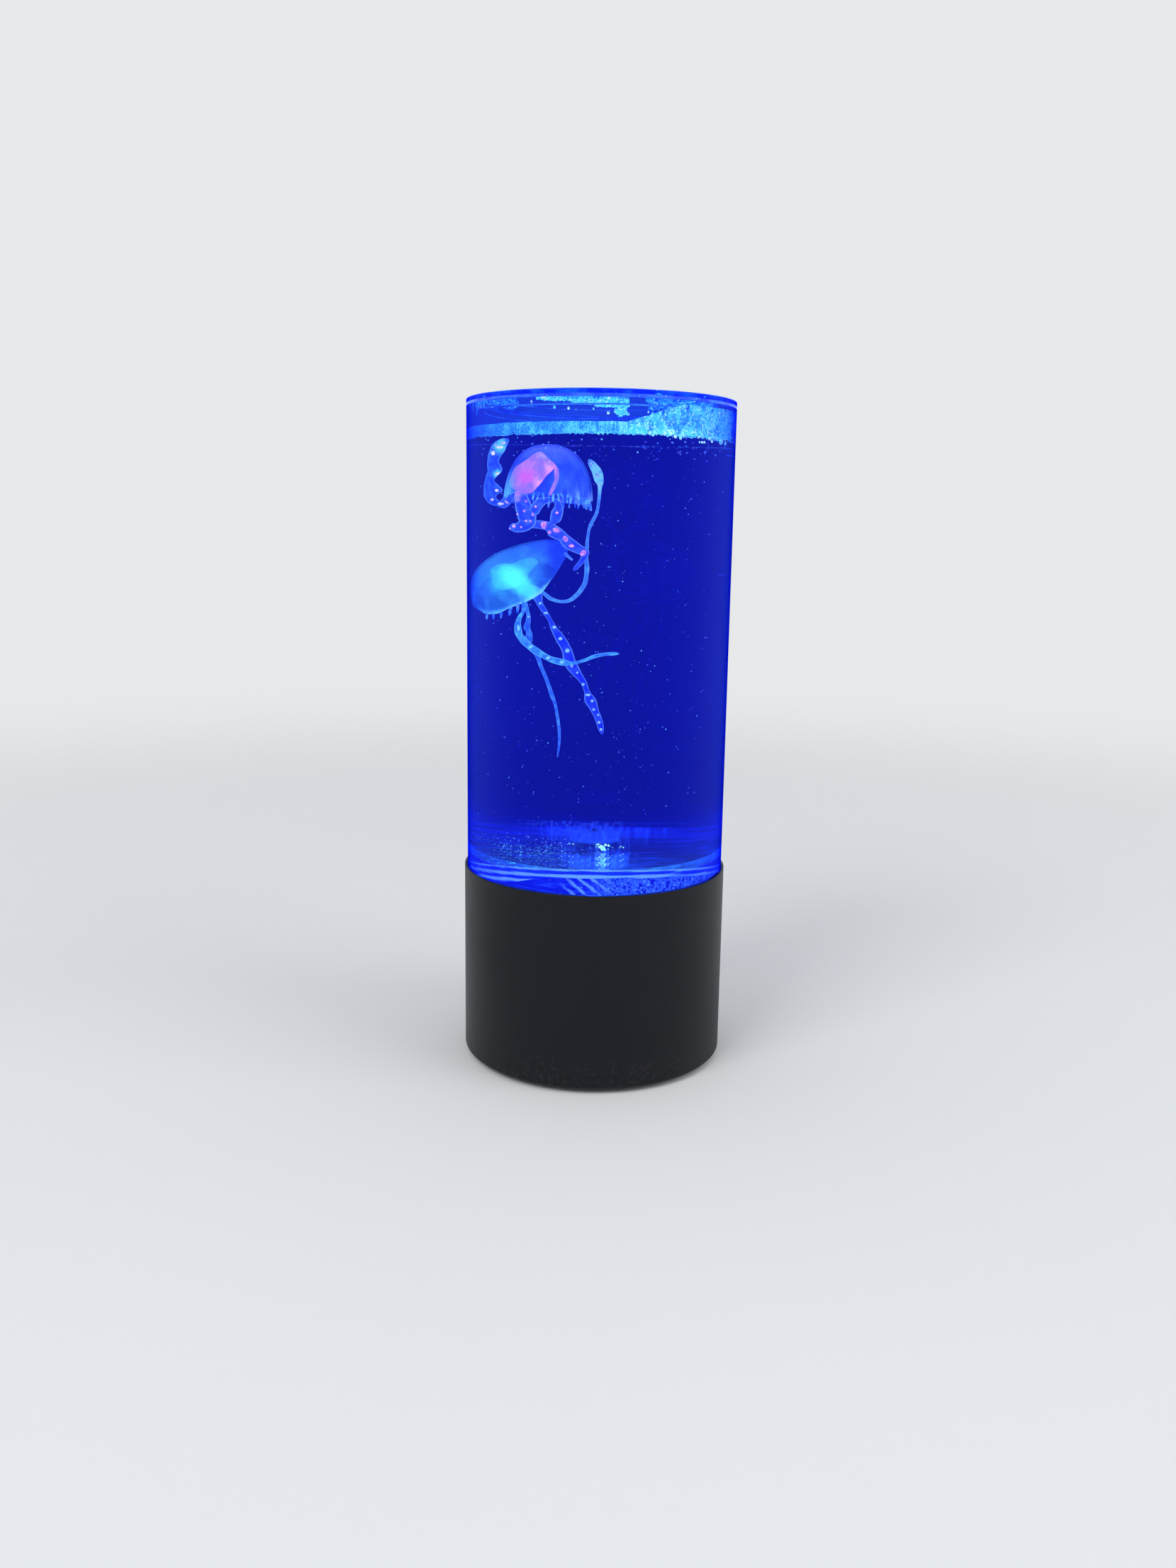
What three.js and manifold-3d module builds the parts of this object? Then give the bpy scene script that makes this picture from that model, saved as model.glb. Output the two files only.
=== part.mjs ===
// Jellyfish lamp: a water-filled clear tank on a black base, with two soft jellyfish that drift
// in the current of a small impeller and are lit from below.
// Millimetres, +Z up. The origin is on the table under the middle of the lamp, and the front faces -Y.

import * as THREE from 'three';
import { mergeVertices } from 'three/addons/utils/BufferGeometryUtils.js';
import Module from 'manifold-3d';

const wasm = await Module();
wasm.setup();

// Driving sizes of the whole lamp
const baseHeight = 83.5;
const tankRadius = 55;
const tankWall = 4;
const tankHeight = 193;
const waterDrop = 16;

// Clearances
const seatGap = 0.3;
const tankGap = 0.2;
const runGap = 0.4;
const cutOver = 1;

// Sizes of the base
const housingWall = 2.2;
const collarWall = 1;
const housingBevel = 0.8;
const footHeight = 2;
const footRadius = 5;
const footInset = 14;
const footCount = 4;
const coverThickness = 3;
const coverPostRadius = 2.5;
const bossRadius = 5;
const bossHeight = 20;
const coverScrewCount = 4;
const tankSeatDepth = 12;
const ledgeThickness = 2.5;
const ledgeWidth = 8.7;
const spigotHeight = 6;

// Screws, of one kind throughout
const screwRadius = 1.4;
const screwHeadRadius = 2.8;
const screwHeadHeight = 1.6;
const screwLength = 9;
const plateScrewLength = 4;
const plateScrewCount = 2;

// Sizes of the tank's own pieces
const sealThickness = 1.2;
const floorRise = 10;
const floorThickness = 3.6;
const glueWidth = 2.7;
const glueHeight = 3.6;
const lidThickness = 2.2;
const lidPlugDepth = 3;
const lidPlugWidth = 3.2;
const foamWidth = 5.2;
const foamHeight = 4.4;
const foamSink = 0.8;

// Sizes of the light board
const ledBoardThickness = 1.6;
const rotorRoom = 3.5;
const ledCount = 6;
const ledSide = 5;
const ledHeight = 1.6;
const ledCircle = 36;

// Sizes of the motor and its magnet holder
const plateThickness = 2;
const plateMargin = 2;
const plateHole = 3.3;
const motorRadius = 12;
const motorLength = 24;
const motorBossRadius = 3;
const motorBossHeight = 1.5;
const shaftRadius = 1;
const shaftInMotor = 8;
const shaftInHolder = 3;
const holderRim = 1;
const holderThickness = 2;
const holderHubRadius = 4;
const holderHubHeight = 4;
const magnetRadius = 4;
const magnetHeight = 2.2;
const magnetCircle = 7.5;
const driveMagnetCount = 2;
const magnetToFloor = 1.8;

// Sizes of the impeller and its cover
const pinRadius = 0.8;
const pinOver = 0.9;
const pinInFloor = 1.5;
const impellerRadius = 8;
const impellerHubRadius = 2.2;
const impellerDisc = 1;
const impellerMagnetRadius = 7.5;
const impellerMagnetHeight = 2;
const bladeCount = 6;
const bladeHeight = 3;
const bladeThickness = 1;
const coverSideRoom = 2.3;
const coverHeadroom = 1.4;
const impellerCoverWall = 1.2;
const outletRadius = 3.2;
const inletCount = 8;
const inletWidth = 3;
const inletHeight = 4;
const inletRise = 1.5;

// Sizes of the controls and the power inlet
const controlHeight = 20;
const controlTurn = 20;
const buttonRadius = 4;
const buttonFlange = 1.5;
const buttonFlangeThickness = 1.2;
const buttonProud = 0.6;
const buttonTravel = 1.2;
const stemRadius = 1.5;
const stemLength = 4.6;
const switchWidth = 7;
const switchDepth = 5;
const switchTopOver = 3;
const boardSideRoom = 4.86;
const boardDepth = 32;
const boardThickness = 1.6;
const boardRise = 7;
const boardMargin = 2;
const boardPostInset = 4;
const jackWidth = 9;
const jackBodyDepth = 14;
const jackNoseRadius = 4.6;
const jackBoreRadius = 2.8;
const jackBoreDepth = 9;
const jackPinRadius = 1;
const jackRecess = 0.5;

// Sizes of the leads inside the base
const leadRadius = 0.9;
const leadHoleRadius = 2.5;
const lightLeadTurn = 150;

// Sizes of the jellyfish
const pinkBellRadius = 14.6;
const pinkBellHeight = 20.7;
const cyanBellRadius = 19;
const cyanBellHeight = 12.5;
const bellWall = 1.2;
const armRadius = 1.1;
const surfaceGap = 2.5;

// Facets round the large and the small turned pieces, and along the soft arms
const wideFacets = 48;
const smallFacets = 24;
const tinyFacets = 12;
const controlFacets = 16;
const strandFacets = 6;
const strandStepsPerPoint = 2;

// Levels up the lamp that several pieces share
const boreRadius = tankRadius - tankWall;
const collarInner = tankRadius + tankGap;
const baseRadius = collarInner + collarWall;
const housingInner = baseRadius - housingWall;
const ledgeTop = baseHeight - tankSeatDepth;
const ledgeBottom = ledgeTop - ledgeThickness;
const spigotOuter = boreRadius - seatGap;
const spigotInner = collarInner - ledgeWidth;
const spigotTop = ledgeTop + spigotHeight;
const coverBottom = footHeight;
const coverTop = coverBottom + coverThickness;
const boardBottom = coverTop + boardRise;
const boardTop = boardBottom + boardThickness;
const plateTop = ledgeBottom - seatGap;
const plateBottom = plateTop - plateThickness;
const motorTop = plateBottom - seatGap;
const floorTop = baseHeight + floorRise;
const floorBottom = floorTop - floorThickness;
const lidTop = baseHeight + tankHeight;
const tubeTop = lidTop - lidThickness - seatGap;
const tubeBottom = ledgeTop + sealThickness + 2 * seatGap;
const waterLevel = lidTop - waterDrop;
const bossCircle = housingInner - bossRadius + seatGap;
const screwHole = screwRadius + seatGap;
const holderRadius = magnetCircle + magnetRadius + holderRim;
const ledBoardHole = holderRadius + rotorRoom;

// Half a step round a circle, which sets a row between the lamp's own axes
const betweenShare = 0.5;

// The cover's screws, and the control board between the rear two
const screwPlaces = aroundCircle(coverScrewCount, bossCircle, betweenShare);
const screwSide = Math.min(...screwPlaces.map(([x]) => Math.abs(x)));
const boardWidth = 2 * (screwSide - bossRadius - boardSideRoom);
const boardRear = Math.sqrt((housingInner - boardMargin) ** 2 - (boardWidth / 2) ** 2);
const boardFront = boardRear - boardDepth;

// Finishes
const blackPlastic = finish(0x0c0c0e, 0.42, 0);
const greyPlastic = finish(0x3a3d42, 0.5, 0);
const blackRubber = finish(0x151515, 0.85, 0);
const clearAcrylic = finish(0x9fc4ff, 0.05, 0);
const clearGlue = finish(0xb6d2ff, 0.3, 0);
const steel = finish(0x9ea2a8, 0.35, 1);
const magnetMetal = finish(0x8d8f94, 0.3, 1);
const boardGreen = finish(0x1c5a3a, 0.5, 0);
const boardWhite = finish(0xe8ebef, 0.4, 0);
const ledLens = finish(0xfff3c4, 0.25, 0);
const whiteFoam = finish(0xb8e2ff, 0.6, 0);
const leadRed = finish(0xa02020, 0.5, 0);
const cyanBellSoft = finish(0x5aa8ff, 0.35, 0);
const cyanCoreSoft = finish(0x66fff2, 0.35, 0);
const pinkBellSoft = finish(0x6a8dff, 0.35, 0);
const pinkCoreSoft = finish(0xf08cff, 0.35, 0);

function finish(colour, roughness, metalness) {
  return new THREE.MeshStandardMaterial({ color: colour, roughness, metalness });
}

// Solids: a closed geometry becomes an exact body that can be joined and cut.

function signedVolume(points, index) {
  const corners = [new THREE.Vector3(), new THREE.Vector3(), new THREE.Vector3()];
  let total = 0;
  for (let i = 0; i < index.length; i += 3) {
    corners.forEach((corner, k) => corner.fromBufferAttribute(points, index[i + k]));
    total += corners[0].dot(corners[1].cross(corners[2]));
  }
  return total;
}

function solid(geometry) {
  const bare = geometry.clone();
  bare.deleteAttribute('normal');
  bare.deleteAttribute('uv');
  const welded = mergeVertices(bare);
  const points = welded.getAttribute('position');
  const index = Array.from(welded.getIndex().array);
  const kept = [];
  for (let i = 0; i < index.length; i += 3) {
    const [a, b, c] = index.slice(i, i + 3);
    if (a !== b && b !== c && c !== a) {
      kept.push(a, b, c);
    }
  }
  if (signedVolume(points, kept) < 0) {
    kept.reverse();
  }
  return new wasm.Manifold(new wasm.Mesh({
    numProp: 3,
    vertProperties: new Float32Array(points.array),
    triVerts: new Uint32Array(kept),
  }));
}

function skin(body) {
  const { vertProperties, triVerts, numProp } = body.getMesh();
  const geometry = new THREE.BufferGeometry();
  geometry.setAttribute('position', new THREE.BufferAttribute(vertProperties, numProp));
  geometry.setIndex(new THREE.BufferAttribute(triVerts, 1));
  geometry.computeVertexNormals();
  return geometry;
}

function joined(bodies) {
  return bodies.reduce((sum, body) => sum.add(body));
}

function cutBy(body, cutters) {
  return cutters.reduce((rest, cutter) => rest.subtract(cutter), body);
}

function piece(parent, name, body, material) {
  const mesh = new THREE.Mesh(skin(body), material);
  mesh.name = name;
  parent.add(mesh);
  return mesh;
}

// Shapes turned about +Z, from points of radius and height

function turnedGeometry(profile, facets) {
  const points = profile.map(([radius, height]) => new THREE.Vector2(radius, height));
  return new THREE.LatheGeometry(points, facets).rotateX(Math.PI / 2);
}

function turned(profile, facets) {
  return solid(turnedGeometry(profile, facets));
}

function ringProfile(inner, outer, low, high) {
  return [[inner, low], [outer, low], [outer, high], [inner, high], [inner, low]];
}

function ring(inner, outer, low, high, facets = wideFacets) {
  return turned(ringProfile(inner, outer, low, high), facets);
}

function discProfile(radius, low, high) {
  return [[0, low], [radius, low], [radius, high], [0, high]];
}

function disc(radius, low, high, facets = wideFacets) {
  return turned(discProfile(radius, low, high), facets);
}

// A round pin standing at a place, and a block with its middle at a place

function pinAt([x, y], radius, low, high, facets = tinyFacets) {
  return solid(turnedGeometry(discProfile(radius, low, high), facets).translate(x, y, 0));
}

function blockAt([x, y, z], [width, depth, height], turn = 0) {
  return solid(new THREE.BoxGeometry(width, depth, height).translate(x, y, z).rotateZ(turn));
}

// A round piece that lies along a radius of the base at the controls' height.
// The turn is counted from the rear, +Y, and near and far are distances from the lamp's axis.

function radialPin(turn, radius, near, far) {
  const standing = turnedGeometry(discProfile(radius, near, far), controlFacets);
  return solid(standing.rotateX(-Math.PI / 2).translate(0, 0, controlHeight).rotateZ(turn));
}

function onCircle(radius, turn) {
  return [radius * Math.cos(turn), radius * Math.sin(turn)];
}

function aroundCircle(count, radius, startShare = 0) {
  const turns = Array.from({ length: count }, (_, i) => ((i + startShare) * 2 * Math.PI) / count);
  return turns.map((turn) => onCircle(radius, turn));
}

// A round strand along a curve through points

function strand(points, radius) {
  const section = new THREE.Shape();
  section.absarc(0, 0, radius, 0, 2 * Math.PI);
  const curve = new THREE.CatmullRomCurve3(points, false, 'centripetal');
  return solid(new THREE.ExtrudeGeometry(section, {
    steps: strandStepsPerPoint * points.length,
    curveSegments: strandFacets / 2,
    extrudePath: curve,
  }));
}

const lamp = new THREE.Group();

// Base housing: a plain cylinder with a thin collar round the tank's lower end, a ledge that
// carries the tank, a spigot inside its bore, and screw bosses for the bottom cover.

const plateScrewCircle = housingInner - plateMargin - screwHeadRadius;
const plateScrewPlaces = aroundCircle(plateScrewCount, plateScrewCircle);
const controlTurnRadians = THREE.MathUtils.degToRad(controlTurn);
const controlTurns = { power: controlTurnRadians, light: -controlTurnRadians };

function housingShell() {
  return turned([
    [baseRadius - housingBevel, coverBottom],
    [baseRadius, coverBottom + housingBevel],
    [baseRadius, baseHeight],
    [collarInner, baseHeight],
    [collarInner, ledgeTop],
    [spigotOuter, ledgeTop],
    [spigotOuter, spigotTop],
    [spigotInner, spigotTop],
    [spigotInner, ledgeBottom],
    [housingInner, ledgeBottom],
    [housingInner, coverBottom],
    [baseRadius - housingBevel, coverBottom],
  ], wideFacets);
}

function baseHousing() {
  const bossLow = coverTop + seatGap;
  const bosses = screwPlaces.map((place) => pinAt(place, bossRadius, bossLow, bossLow + bossHeight));
  const screwHoles = screwPlaces.map((place) => (
    pinAt(place, screwHole, bossLow - cutOver, coverBottom + screwLength + cutOver)));
  const plateHoles = plateScrewPlaces.map((place) => (
    pinAt(place, screwHole, ledgeBottom - cutOver, plateBottom - seatGap + plateScrewLength + seatGap)));
  const wallNear = housingInner - cutOver;
  const wallFar = baseRadius + cutOver;
  const buttonHoles = Object.values(controlTurns).map((turn) => (
    radialPin(turn, buttonRadius + runGap, wallNear, wallFar)));
  const jackHole = radialPin(0, jackNoseRadius + seatGap, wallNear, wallFar);
  const shell = joined([housingShell(), ...bosses]);
  return cutBy(shell, [...screwHoles, ...plateHoles, ...buttonHoles, jackHole]);
}

piece(lamp, 'base_housing', baseHousing(), blackPlastic);

// Bottom cover: a disc let into the housing, with posts that carry the control board and
// counterbores for the screw heads.

const headDepth = screwHeadHeight + seatGap;

function bottomCover() {
  const halfWidth = boardWidth / 2 - boardPostInset;
  const postDepths = [boardFront + boardPostInset, boardRear - boardPostInset];
  const postPlaces = postDepths.flatMap((y) => [[-halfWidth, y], [halfWidth, y]]);
  const posts = postPlaces.map((place) => (
    pinAt(place, coverPostRadius, coverTop - seatGap, boardBottom - seatGap)));
  const plate = disc(housingInner - seatGap, coverBottom, coverTop);
  const shanks = screwPlaces.map((place) => (
    pinAt(place, screwHole, coverBottom - cutOver, coverTop + cutOver)));
  const heads = screwPlaces.map((place) => (
    pinAt(place, screwHeadRadius + seatGap, coverBottom - cutOver, coverBottom + headDepth)));
  return cutBy(joined([plate, ...posts]), [...shanks, ...heads]);
}

piece(lamp, 'base_bottom_cover', bottomCover(), blackPlastic);

// Rubber feet and the cover's screws

function screwBody(length) {
  return turned([
    [0, 0],
    [screwHeadRadius, 0],
    [screwHeadRadius, screwHeadHeight],
    [screwRadius, screwHeadHeight],
    [screwRadius, length],
    [0, length],
  ], tinyFacets);
}

aroundCircle(footCount, housingInner - footInset).forEach(([x, y], i) => {
  const foot = disc(footRadius, 0, footHeight - seatGap, smallFacets);
  piece(lamp, `rubber_foot_${i + 1}`, foot, blackRubber).position.set(x, y, 0);
});

screwPlaces.forEach(([x, y], i) => {
  const screw = piece(lamp, `cover_screw_${i + 1}`, screwBody(screwLength), steel);
  screw.position.set(x, y, coverBottom);
});

// Control board with its two switches and the power inlet, and the buttons in the rear wall

const boardMiddle = (boardFront + boardRear) / 2;
const boardCentre = [0, boardMiddle, boardBottom + boardThickness / 2];
piece(lamp, 'control_board', blockAt(boardCentre, [boardWidth, boardDepth, boardThickness]), boardGreen);

const flangeRadius = buttonRadius + buttonFlange;
const flangeFar = Math.sqrt(housingInner ** 2 - flangeRadius ** 2) - runGap;
const flangeNear = flangeFar - buttonFlangeThickness;
const stemNear = flangeNear - stemLength;

function buttonBody(turn) {
  return joined([
    radialPin(turn, buttonRadius, flangeNear, baseRadius + buttonProud),
    radialPin(turn, flangeRadius, flangeNear, flangeFar),
    radialPin(turn, stemRadius, stemNear, flangeFar),
  ]);
}

function switchBody(turn) {
  const low = boardTop + seatGap;
  const high = controlHeight + switchTopOver;
  const far = stemNear - buttonTravel - seatGap;
  return blockAt([0, far - switchDepth / 2, (low + high) / 2], [switchWidth, switchDepth, high - low], turn);
}

Object.entries(controlTurns).forEach(([label, turn]) => {
  piece(lamp, `${label}_button`, buttonBody(turn), greyPlastic);
  piece(lamp, `${label}_switch`, switchBody(turn), greyPlastic);
});

// Power inlet: a box on the board whose round nose sits in the rear wall, with a pin in its bore

function powerInlet() {
  const noseFar = baseRadius - jackRecess;
  const bodyFar = Math.sqrt(housingInner ** 2 - (jackWidth / 2) ** 2) - 2 * seatGap;
  const low = boardTop + seatGap;
  const height = 2 * (controlHeight - low);
  const box = blockAt([0, bodyFar - jackBodyDepth / 2, controlHeight], [jackWidth, jackBodyDepth, height]);
  const nose = radialPin(0, jackNoseRadius, bodyFar - cutOver, noseFar);
  const bore = radialPin(0, jackBoreRadius, noseFar - jackBoreDepth, noseFar + cutOver);
  const contact = radialPin(0, jackPinRadius, noseFar - jackBoreDepth - cutOver, noseFar - jackRecess);
  return joined([box, nose]).subtract(bore).add(contact);
}

piece(lamp, 'power_inlet', powerInlet(), greyPlastic);

// Motor plate under the ledge, with the motor hanging from it

const lightLeadCircle = (spigotInner + ledBoardHole) / 2;
const lightLeadPlace = onCircle(lightLeadCircle, THREE.MathUtils.degToRad(lightLeadTurn));

function motorPlate() {
  const plate = disc(housingInner - plateMargin, plateBottom, plateTop);
  const centre = disc(plateHole, plateBottom - cutOver, plateTop + cutOver, smallFacets);
  const leadHole = pinAt(lightLeadPlace, leadHoleRadius, plateBottom - cutOver, plateTop + cutOver);
  const holes = plateScrewPlaces.map((place) => (
    pinAt(place, screwHole, plateBottom - cutOver, plateTop + cutOver)));
  return cutBy(plate, [centre, leadHole, ...holes]);
}

piece(lamp, 'motor_plate', motorPlate(), steel);

plateScrewPlaces.forEach(([x, y], i) => {
  const screwLong = plateScrewLength + screwHeadHeight;
  const screw = piece(lamp, `motor_plate_screw_${i + 1}`, screwBody(screwLong), steel);
  screw.position.set(x, y, plateBottom - seatGap - screwHeadHeight);
});

function motorCan() {
  const can = disc(motorRadius, motorTop - motorLength, motorTop, smallFacets);
  const boss = disc(motorBossRadius, motorTop - seatGap, motorTop + motorBossHeight, smallFacets);
  const low = motorTop - shaftInMotor - seatGap;
  const bore = disc(shaftRadius + seatGap, low, motorTop + motorBossHeight + cutOver, smallFacets);
  return can.add(boss).subtract(bore);
}

piece(lamp, 'motor_can', motorCan(), steel);

// Rotor: shaft, magnet holder and two magnets that face the impeller through the tank floor

const magnetTop = floorBottom - magnetToFloor;
const magnetLow = magnetTop - magnetHeight;
const holderTop = magnetLow - seatGap;
const holderHubLow = holderTop - holderThickness - holderHubHeight;
const shaftTop = holderHubLow + shaftInHolder;

function magnetHolder() {
  const plate = disc(holderRadius, holderTop - holderThickness, holderTop, smallFacets);
  const hub = disc(holderHubRadius, holderHubLow, holderTop, smallFacets);
  const bore = disc(shaftRadius + seatGap, holderHubLow - cutOver, shaftTop + seatGap, smallFacets);
  return plate.add(hub).subtract(bore);
}

piece(lamp, 'motor_shaft', disc(shaftRadius, motorTop - shaftInMotor, shaftTop, smallFacets), steel);
piece(lamp, 'magnet_holder', magnetHolder(), greyPlastic);

aroundCircle(driveMagnetCount, magnetCircle).forEach(([x, y], i) => {
  const magnet = disc(magnetRadius, magnetLow, magnetTop, smallFacets);
  piece(lamp, `drive_magnet_${i + 1}`, magnet, magnetMetal).position.set(x, y, 0);
});

// Light board on the spigot, with its diodes facing up

const ledBoardLow = spigotTop + seatGap;
const ledBoardTop = ledBoardLow + ledBoardThickness;
piece(lamp, 'light_board', ring(ledBoardHole, spigotOuter, ledBoardLow, ledBoardTop), boardWhite);

aroundCircle(ledCount, ledCircle, betweenShare).forEach(([x, y], i) => {
  const diode = blockAt([0, 0, ledBoardTop + seatGap + ledHeight / 2], [ledSide, ledSide, ledHeight]);
  piece(lamp, `light_diode_${i + 1}`, diode, ledLens).position.set(x, y, 0);
});

// Leads from the control board to the motor and to the light board. Each route runs from a
// place on the board to its far end, with the places between given as shares of the way.

function lead(start, end, bendShares) {
  const from = new THREE.Vector3(...start);
  const way = new THREE.Vector3(...end).sub(from);
  const bends = bendShares.map(([across, up]) => (
    from.clone().add(new THREE.Vector3(across * way.x, across * way.y, up * way.z))));
  return strand([from, ...bends, from.clone().add(way)], leadRadius);
}

const leadBendShares = [[0, 0.12], [0.4, 0.45], [1, 0.88]];
const motorLeadStart = [motorRadius, boardMiddle - boardPostInset, boardTop + seatGap];
const motorLeadEnd = [motorRadius / 2, 0, motorTop - motorLength - seatGap];
const lightLeadStart = [boardPostInset - boardWidth / 2, boardMiddle, boardTop + seatGap];
const lightLeadEnd = [...lightLeadPlace, ledBoardLow - seatGap];
const lightBendShares = [[0, 0.08], [0.5, 0.35], [1, 0.7], [1, 0.86]];
piece(lamp, 'motor_lead', lead(motorLeadStart, motorLeadEnd, leadBendShares), leadRed);
piece(lamp, 'light_lead', lead(lightLeadStart, lightLeadEnd, lightBendShares), leadRed);

// Tank: tube, the seal under it, the floor with its glue ring, and the lid with its plug

const sealLow = ledgeTop + seatGap;
piece(lamp, 'tank_seal', ring(boreRadius, tankRadius, sealLow, sealLow + sealThickness), blackRubber);
piece(lamp, 'tank_tube', ring(boreRadius, tankRadius, tubeBottom, tubeTop), clearAcrylic);

function tankFloor() {
  const plate = disc(boreRadius - seatGap, floorBottom, floorTop);
  const pinHole = disc(pinRadius + seatGap, floorTop - pinInFloor - seatGap, floorTop + cutOver, smallFacets);
  return plate.subtract(pinHole);
}

piece(lamp, 'tank_floor', tankFloor(), clearAcrylic);

const glueTop = floorBottom - seatGap;
const glueOuter = boreRadius - seatGap;
const glueRing = ring(glueOuter - glueWidth, glueOuter, glueTop - glueHeight, glueTop);
piece(lamp, 'floor_glue_ring', glueRing, clearGlue);

function tankLid() {
  const plugRadius = boreRadius - seatGap;
  return turned([
    [0, tubeTop + seatGap],
    [plugRadius - lidPlugWidth, tubeTop + seatGap],
    [plugRadius - lidPlugWidth, tubeTop - lidPlugDepth],
    [plugRadius, tubeTop - lidPlugDepth],
    [plugRadius, tubeTop + seatGap],
    [tankRadius, tubeTop + seatGap],
    [tankRadius, lidTop],
    [0, lidTop],
  ], wideFacets);
}

piece(lamp, 'tank_lid', tankLid(), clearAcrylic);

const foamOuter = boreRadius - seatGap;
const foamLow = waterLevel - foamSink;
piece(lamp, 'foam_ring', ring(foamOuter - foamWidth, foamOuter, foamLow, foamLow + foamHeight), whiteFoam);

// Impeller on its fixed pin, under a clear cover with inlets round its side and an outlet on top

const hubLow = floorTop + seatGap;
const impellerMagnetLow = hubLow + seatGap;
const impellerLow = impellerMagnetLow + impellerMagnetHeight + seatGap;
const bladeLow = impellerLow + impellerDisc;
const bladeTop = bladeLow + bladeHeight;
const coverInner = impellerRadius + coverSideRoom;
const impellerCoverRadius = coverInner + impellerCoverWall;
const impellerCoverUnder = bladeTop + coverHeadroom;
const impellerCoverTop = impellerCoverUnder + impellerCoverWall;

function impeller() {
  const plate = disc(impellerRadius, impellerLow, bladeLow, smallFacets);
  const hub = disc(impellerHubRadius, hubLow, bladeTop, smallFacets);
  const length = impellerRadius - impellerHubRadius / 2;
  const height = bladeHeight + impellerDisc / 2;
  const middle = [(impellerHubRadius / 2 + impellerRadius) / 2, 0, bladeTop - height / 2];
  const blades = Array.from({ length: bladeCount }, (_, i) => (
    blockAt(middle, [length, bladeThickness, height], (i * 2 * Math.PI) / bladeCount)));
  const bore = disc(pinRadius + seatGap, hubLow - cutOver, bladeTop + cutOver, smallFacets);
  const rim = disc(impellerRadius, hubLow - cutOver, bladeTop + cutOver, smallFacets);
  return joined([plate, hub, ...blades]).intersect(rim).subtract(bore);
}

function impellerCover() {
  const low = floorTop + seatGap;
  const high = impellerCoverTop;
  const shell = disc(impellerCoverRadius, low, high, smallFacets);
  const hollow = disc(coverInner, low - cutOver, impellerCoverUnder, smallFacets);
  const outlet = disc(outletRadius, low, high + cutOver, smallFacets);
  const inletMiddle = [impellerCoverRadius, 0, low + inletRise + inletHeight / 2];
  const inletSize = [2 * impellerCoverWall + cutOver, inletWidth, inletHeight];
  const inlets = Array.from({ length: inletCount }, (_, i) => (
    blockAt(inletMiddle, inletSize, (i * 2 * Math.PI) / inletCount)));
  return cutBy(shell, [hollow, outlet, ...inlets]);
}

const magnetHole = impellerHubRadius + seatGap;
const impellerMagnetTop = impellerMagnetLow + impellerMagnetHeight;
const impellerMagnet = ring(
  magnetHole, impellerMagnetRadius, impellerMagnetLow, impellerMagnetTop, smallFacets);
const impellerPin = disc(pinRadius, floorTop - pinInFloor, bladeTop + pinOver, smallFacets);
piece(lamp, 'impeller_pin', impellerPin, steel);
piece(lamp, 'impeller_magnet', impellerMagnet, magnetMetal);
piece(lamp, 'impeller', impeller(), boardWhite);
piece(lamp, 'impeller_cover', impellerCover(), clearAcrylic);

// Jellyfish: a thin bell over a core, with arms that start under the core's flat underside.
// Places are shares of the bell's radius from the middle of its mouth, +Z up, and heights are
// shares of its hang, which is no more than its radius where the water is shallow.

const domeStepShares = [0, 0.18, 0.36, 0.54, 0.7, 0.85, 1];
const coreRadiusShare = 0.46;
const coreWaistShare = 0.34;
const coreLowShare = 0.12;
const coreShoulderShare = 0.62;
const rootSpacingShare = 0.24;
const rootLeadShare = 0.16;

function dome(radius, height) {
  return domeStepShares.map((share) => (
    [radius * Math.sin((share * Math.PI) / 2), height * Math.cos((share * Math.PI) / 2)]));
}

function bellBody(radius, height) {
  const outer = dome(radius, height);
  const inner = dome(radius - bellWall, height - bellWall).reverse();
  return turned([...outer, ...inner], smallFacets);
}

function coreBody(radius, height, asideShare) {
  const top = (height - bellWall) * (1 - asideShare ** 2) - seatGap;
  return turned([
    [0, coreLowShare * height],
    [coreWaistShare * radius, coreLowShare * height],
    [coreRadiusShare * radius, coreShoulderShare * height / 2],
    [coreRadiusShare * radius, coreShoulderShare * height],
    [coreRadiusShare * radius / 2, (top + coreShoulderShare * height) / 2],
    [0, top],
  ], smallFacets);
}

function jellyfish(label, size, place, tilt, arms, bellFinish, coreFinish) {
  const whole = new THREE.Group();
  whole.position.set(...place);
  lamp.add(whole);
  const tilted = new THREE.Group();
  tilted.rotation.set(THREE.MathUtils.degToRad(tilt.nod), -THREE.MathUtils.degToRad(tilt.lean), 0);
  whole.add(tilted);
  piece(tilted, `${label}_bell`, bellBody(size.radius, size.height), bellFinish);
  const heart = new THREE.Group();
  heart.position.x = -size.asideShare * size.radius;
  tilted.add(heart);
  piece(heart, `${label}_core`, coreBody(size.radius, size.height, size.asideShare), coreFinish);
  const rootHeight = coreLowShare * size.height - seatGap;
  Object.entries(arms).forEach(([armName, arm]) => {
    const [rootX, rootY] = arm.rootShare.map((share) => share * size.radius);
    const root = new THREE.Vector3(rootX, rootY, rootHeight);
    const below = new THREE.Vector3(rootX, rootY, rootHeight - rootLeadShare * size.radius);
    const start = [root, below].map((point) => point.applyEuler(tilted.rotation));
    const reach = new THREE.Vector3(size.radius, size.radius, size.hang);
    const rest = arm.pathShares.map((shares) => new THREE.Vector3(...shares).multiply(reach));
    piece(whole, `${label}_${armName}`, strand([...start, ...rest], armRadius), bellFinish);
  });
}

// Upper jellyfish, close under the water's surface on the left

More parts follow.
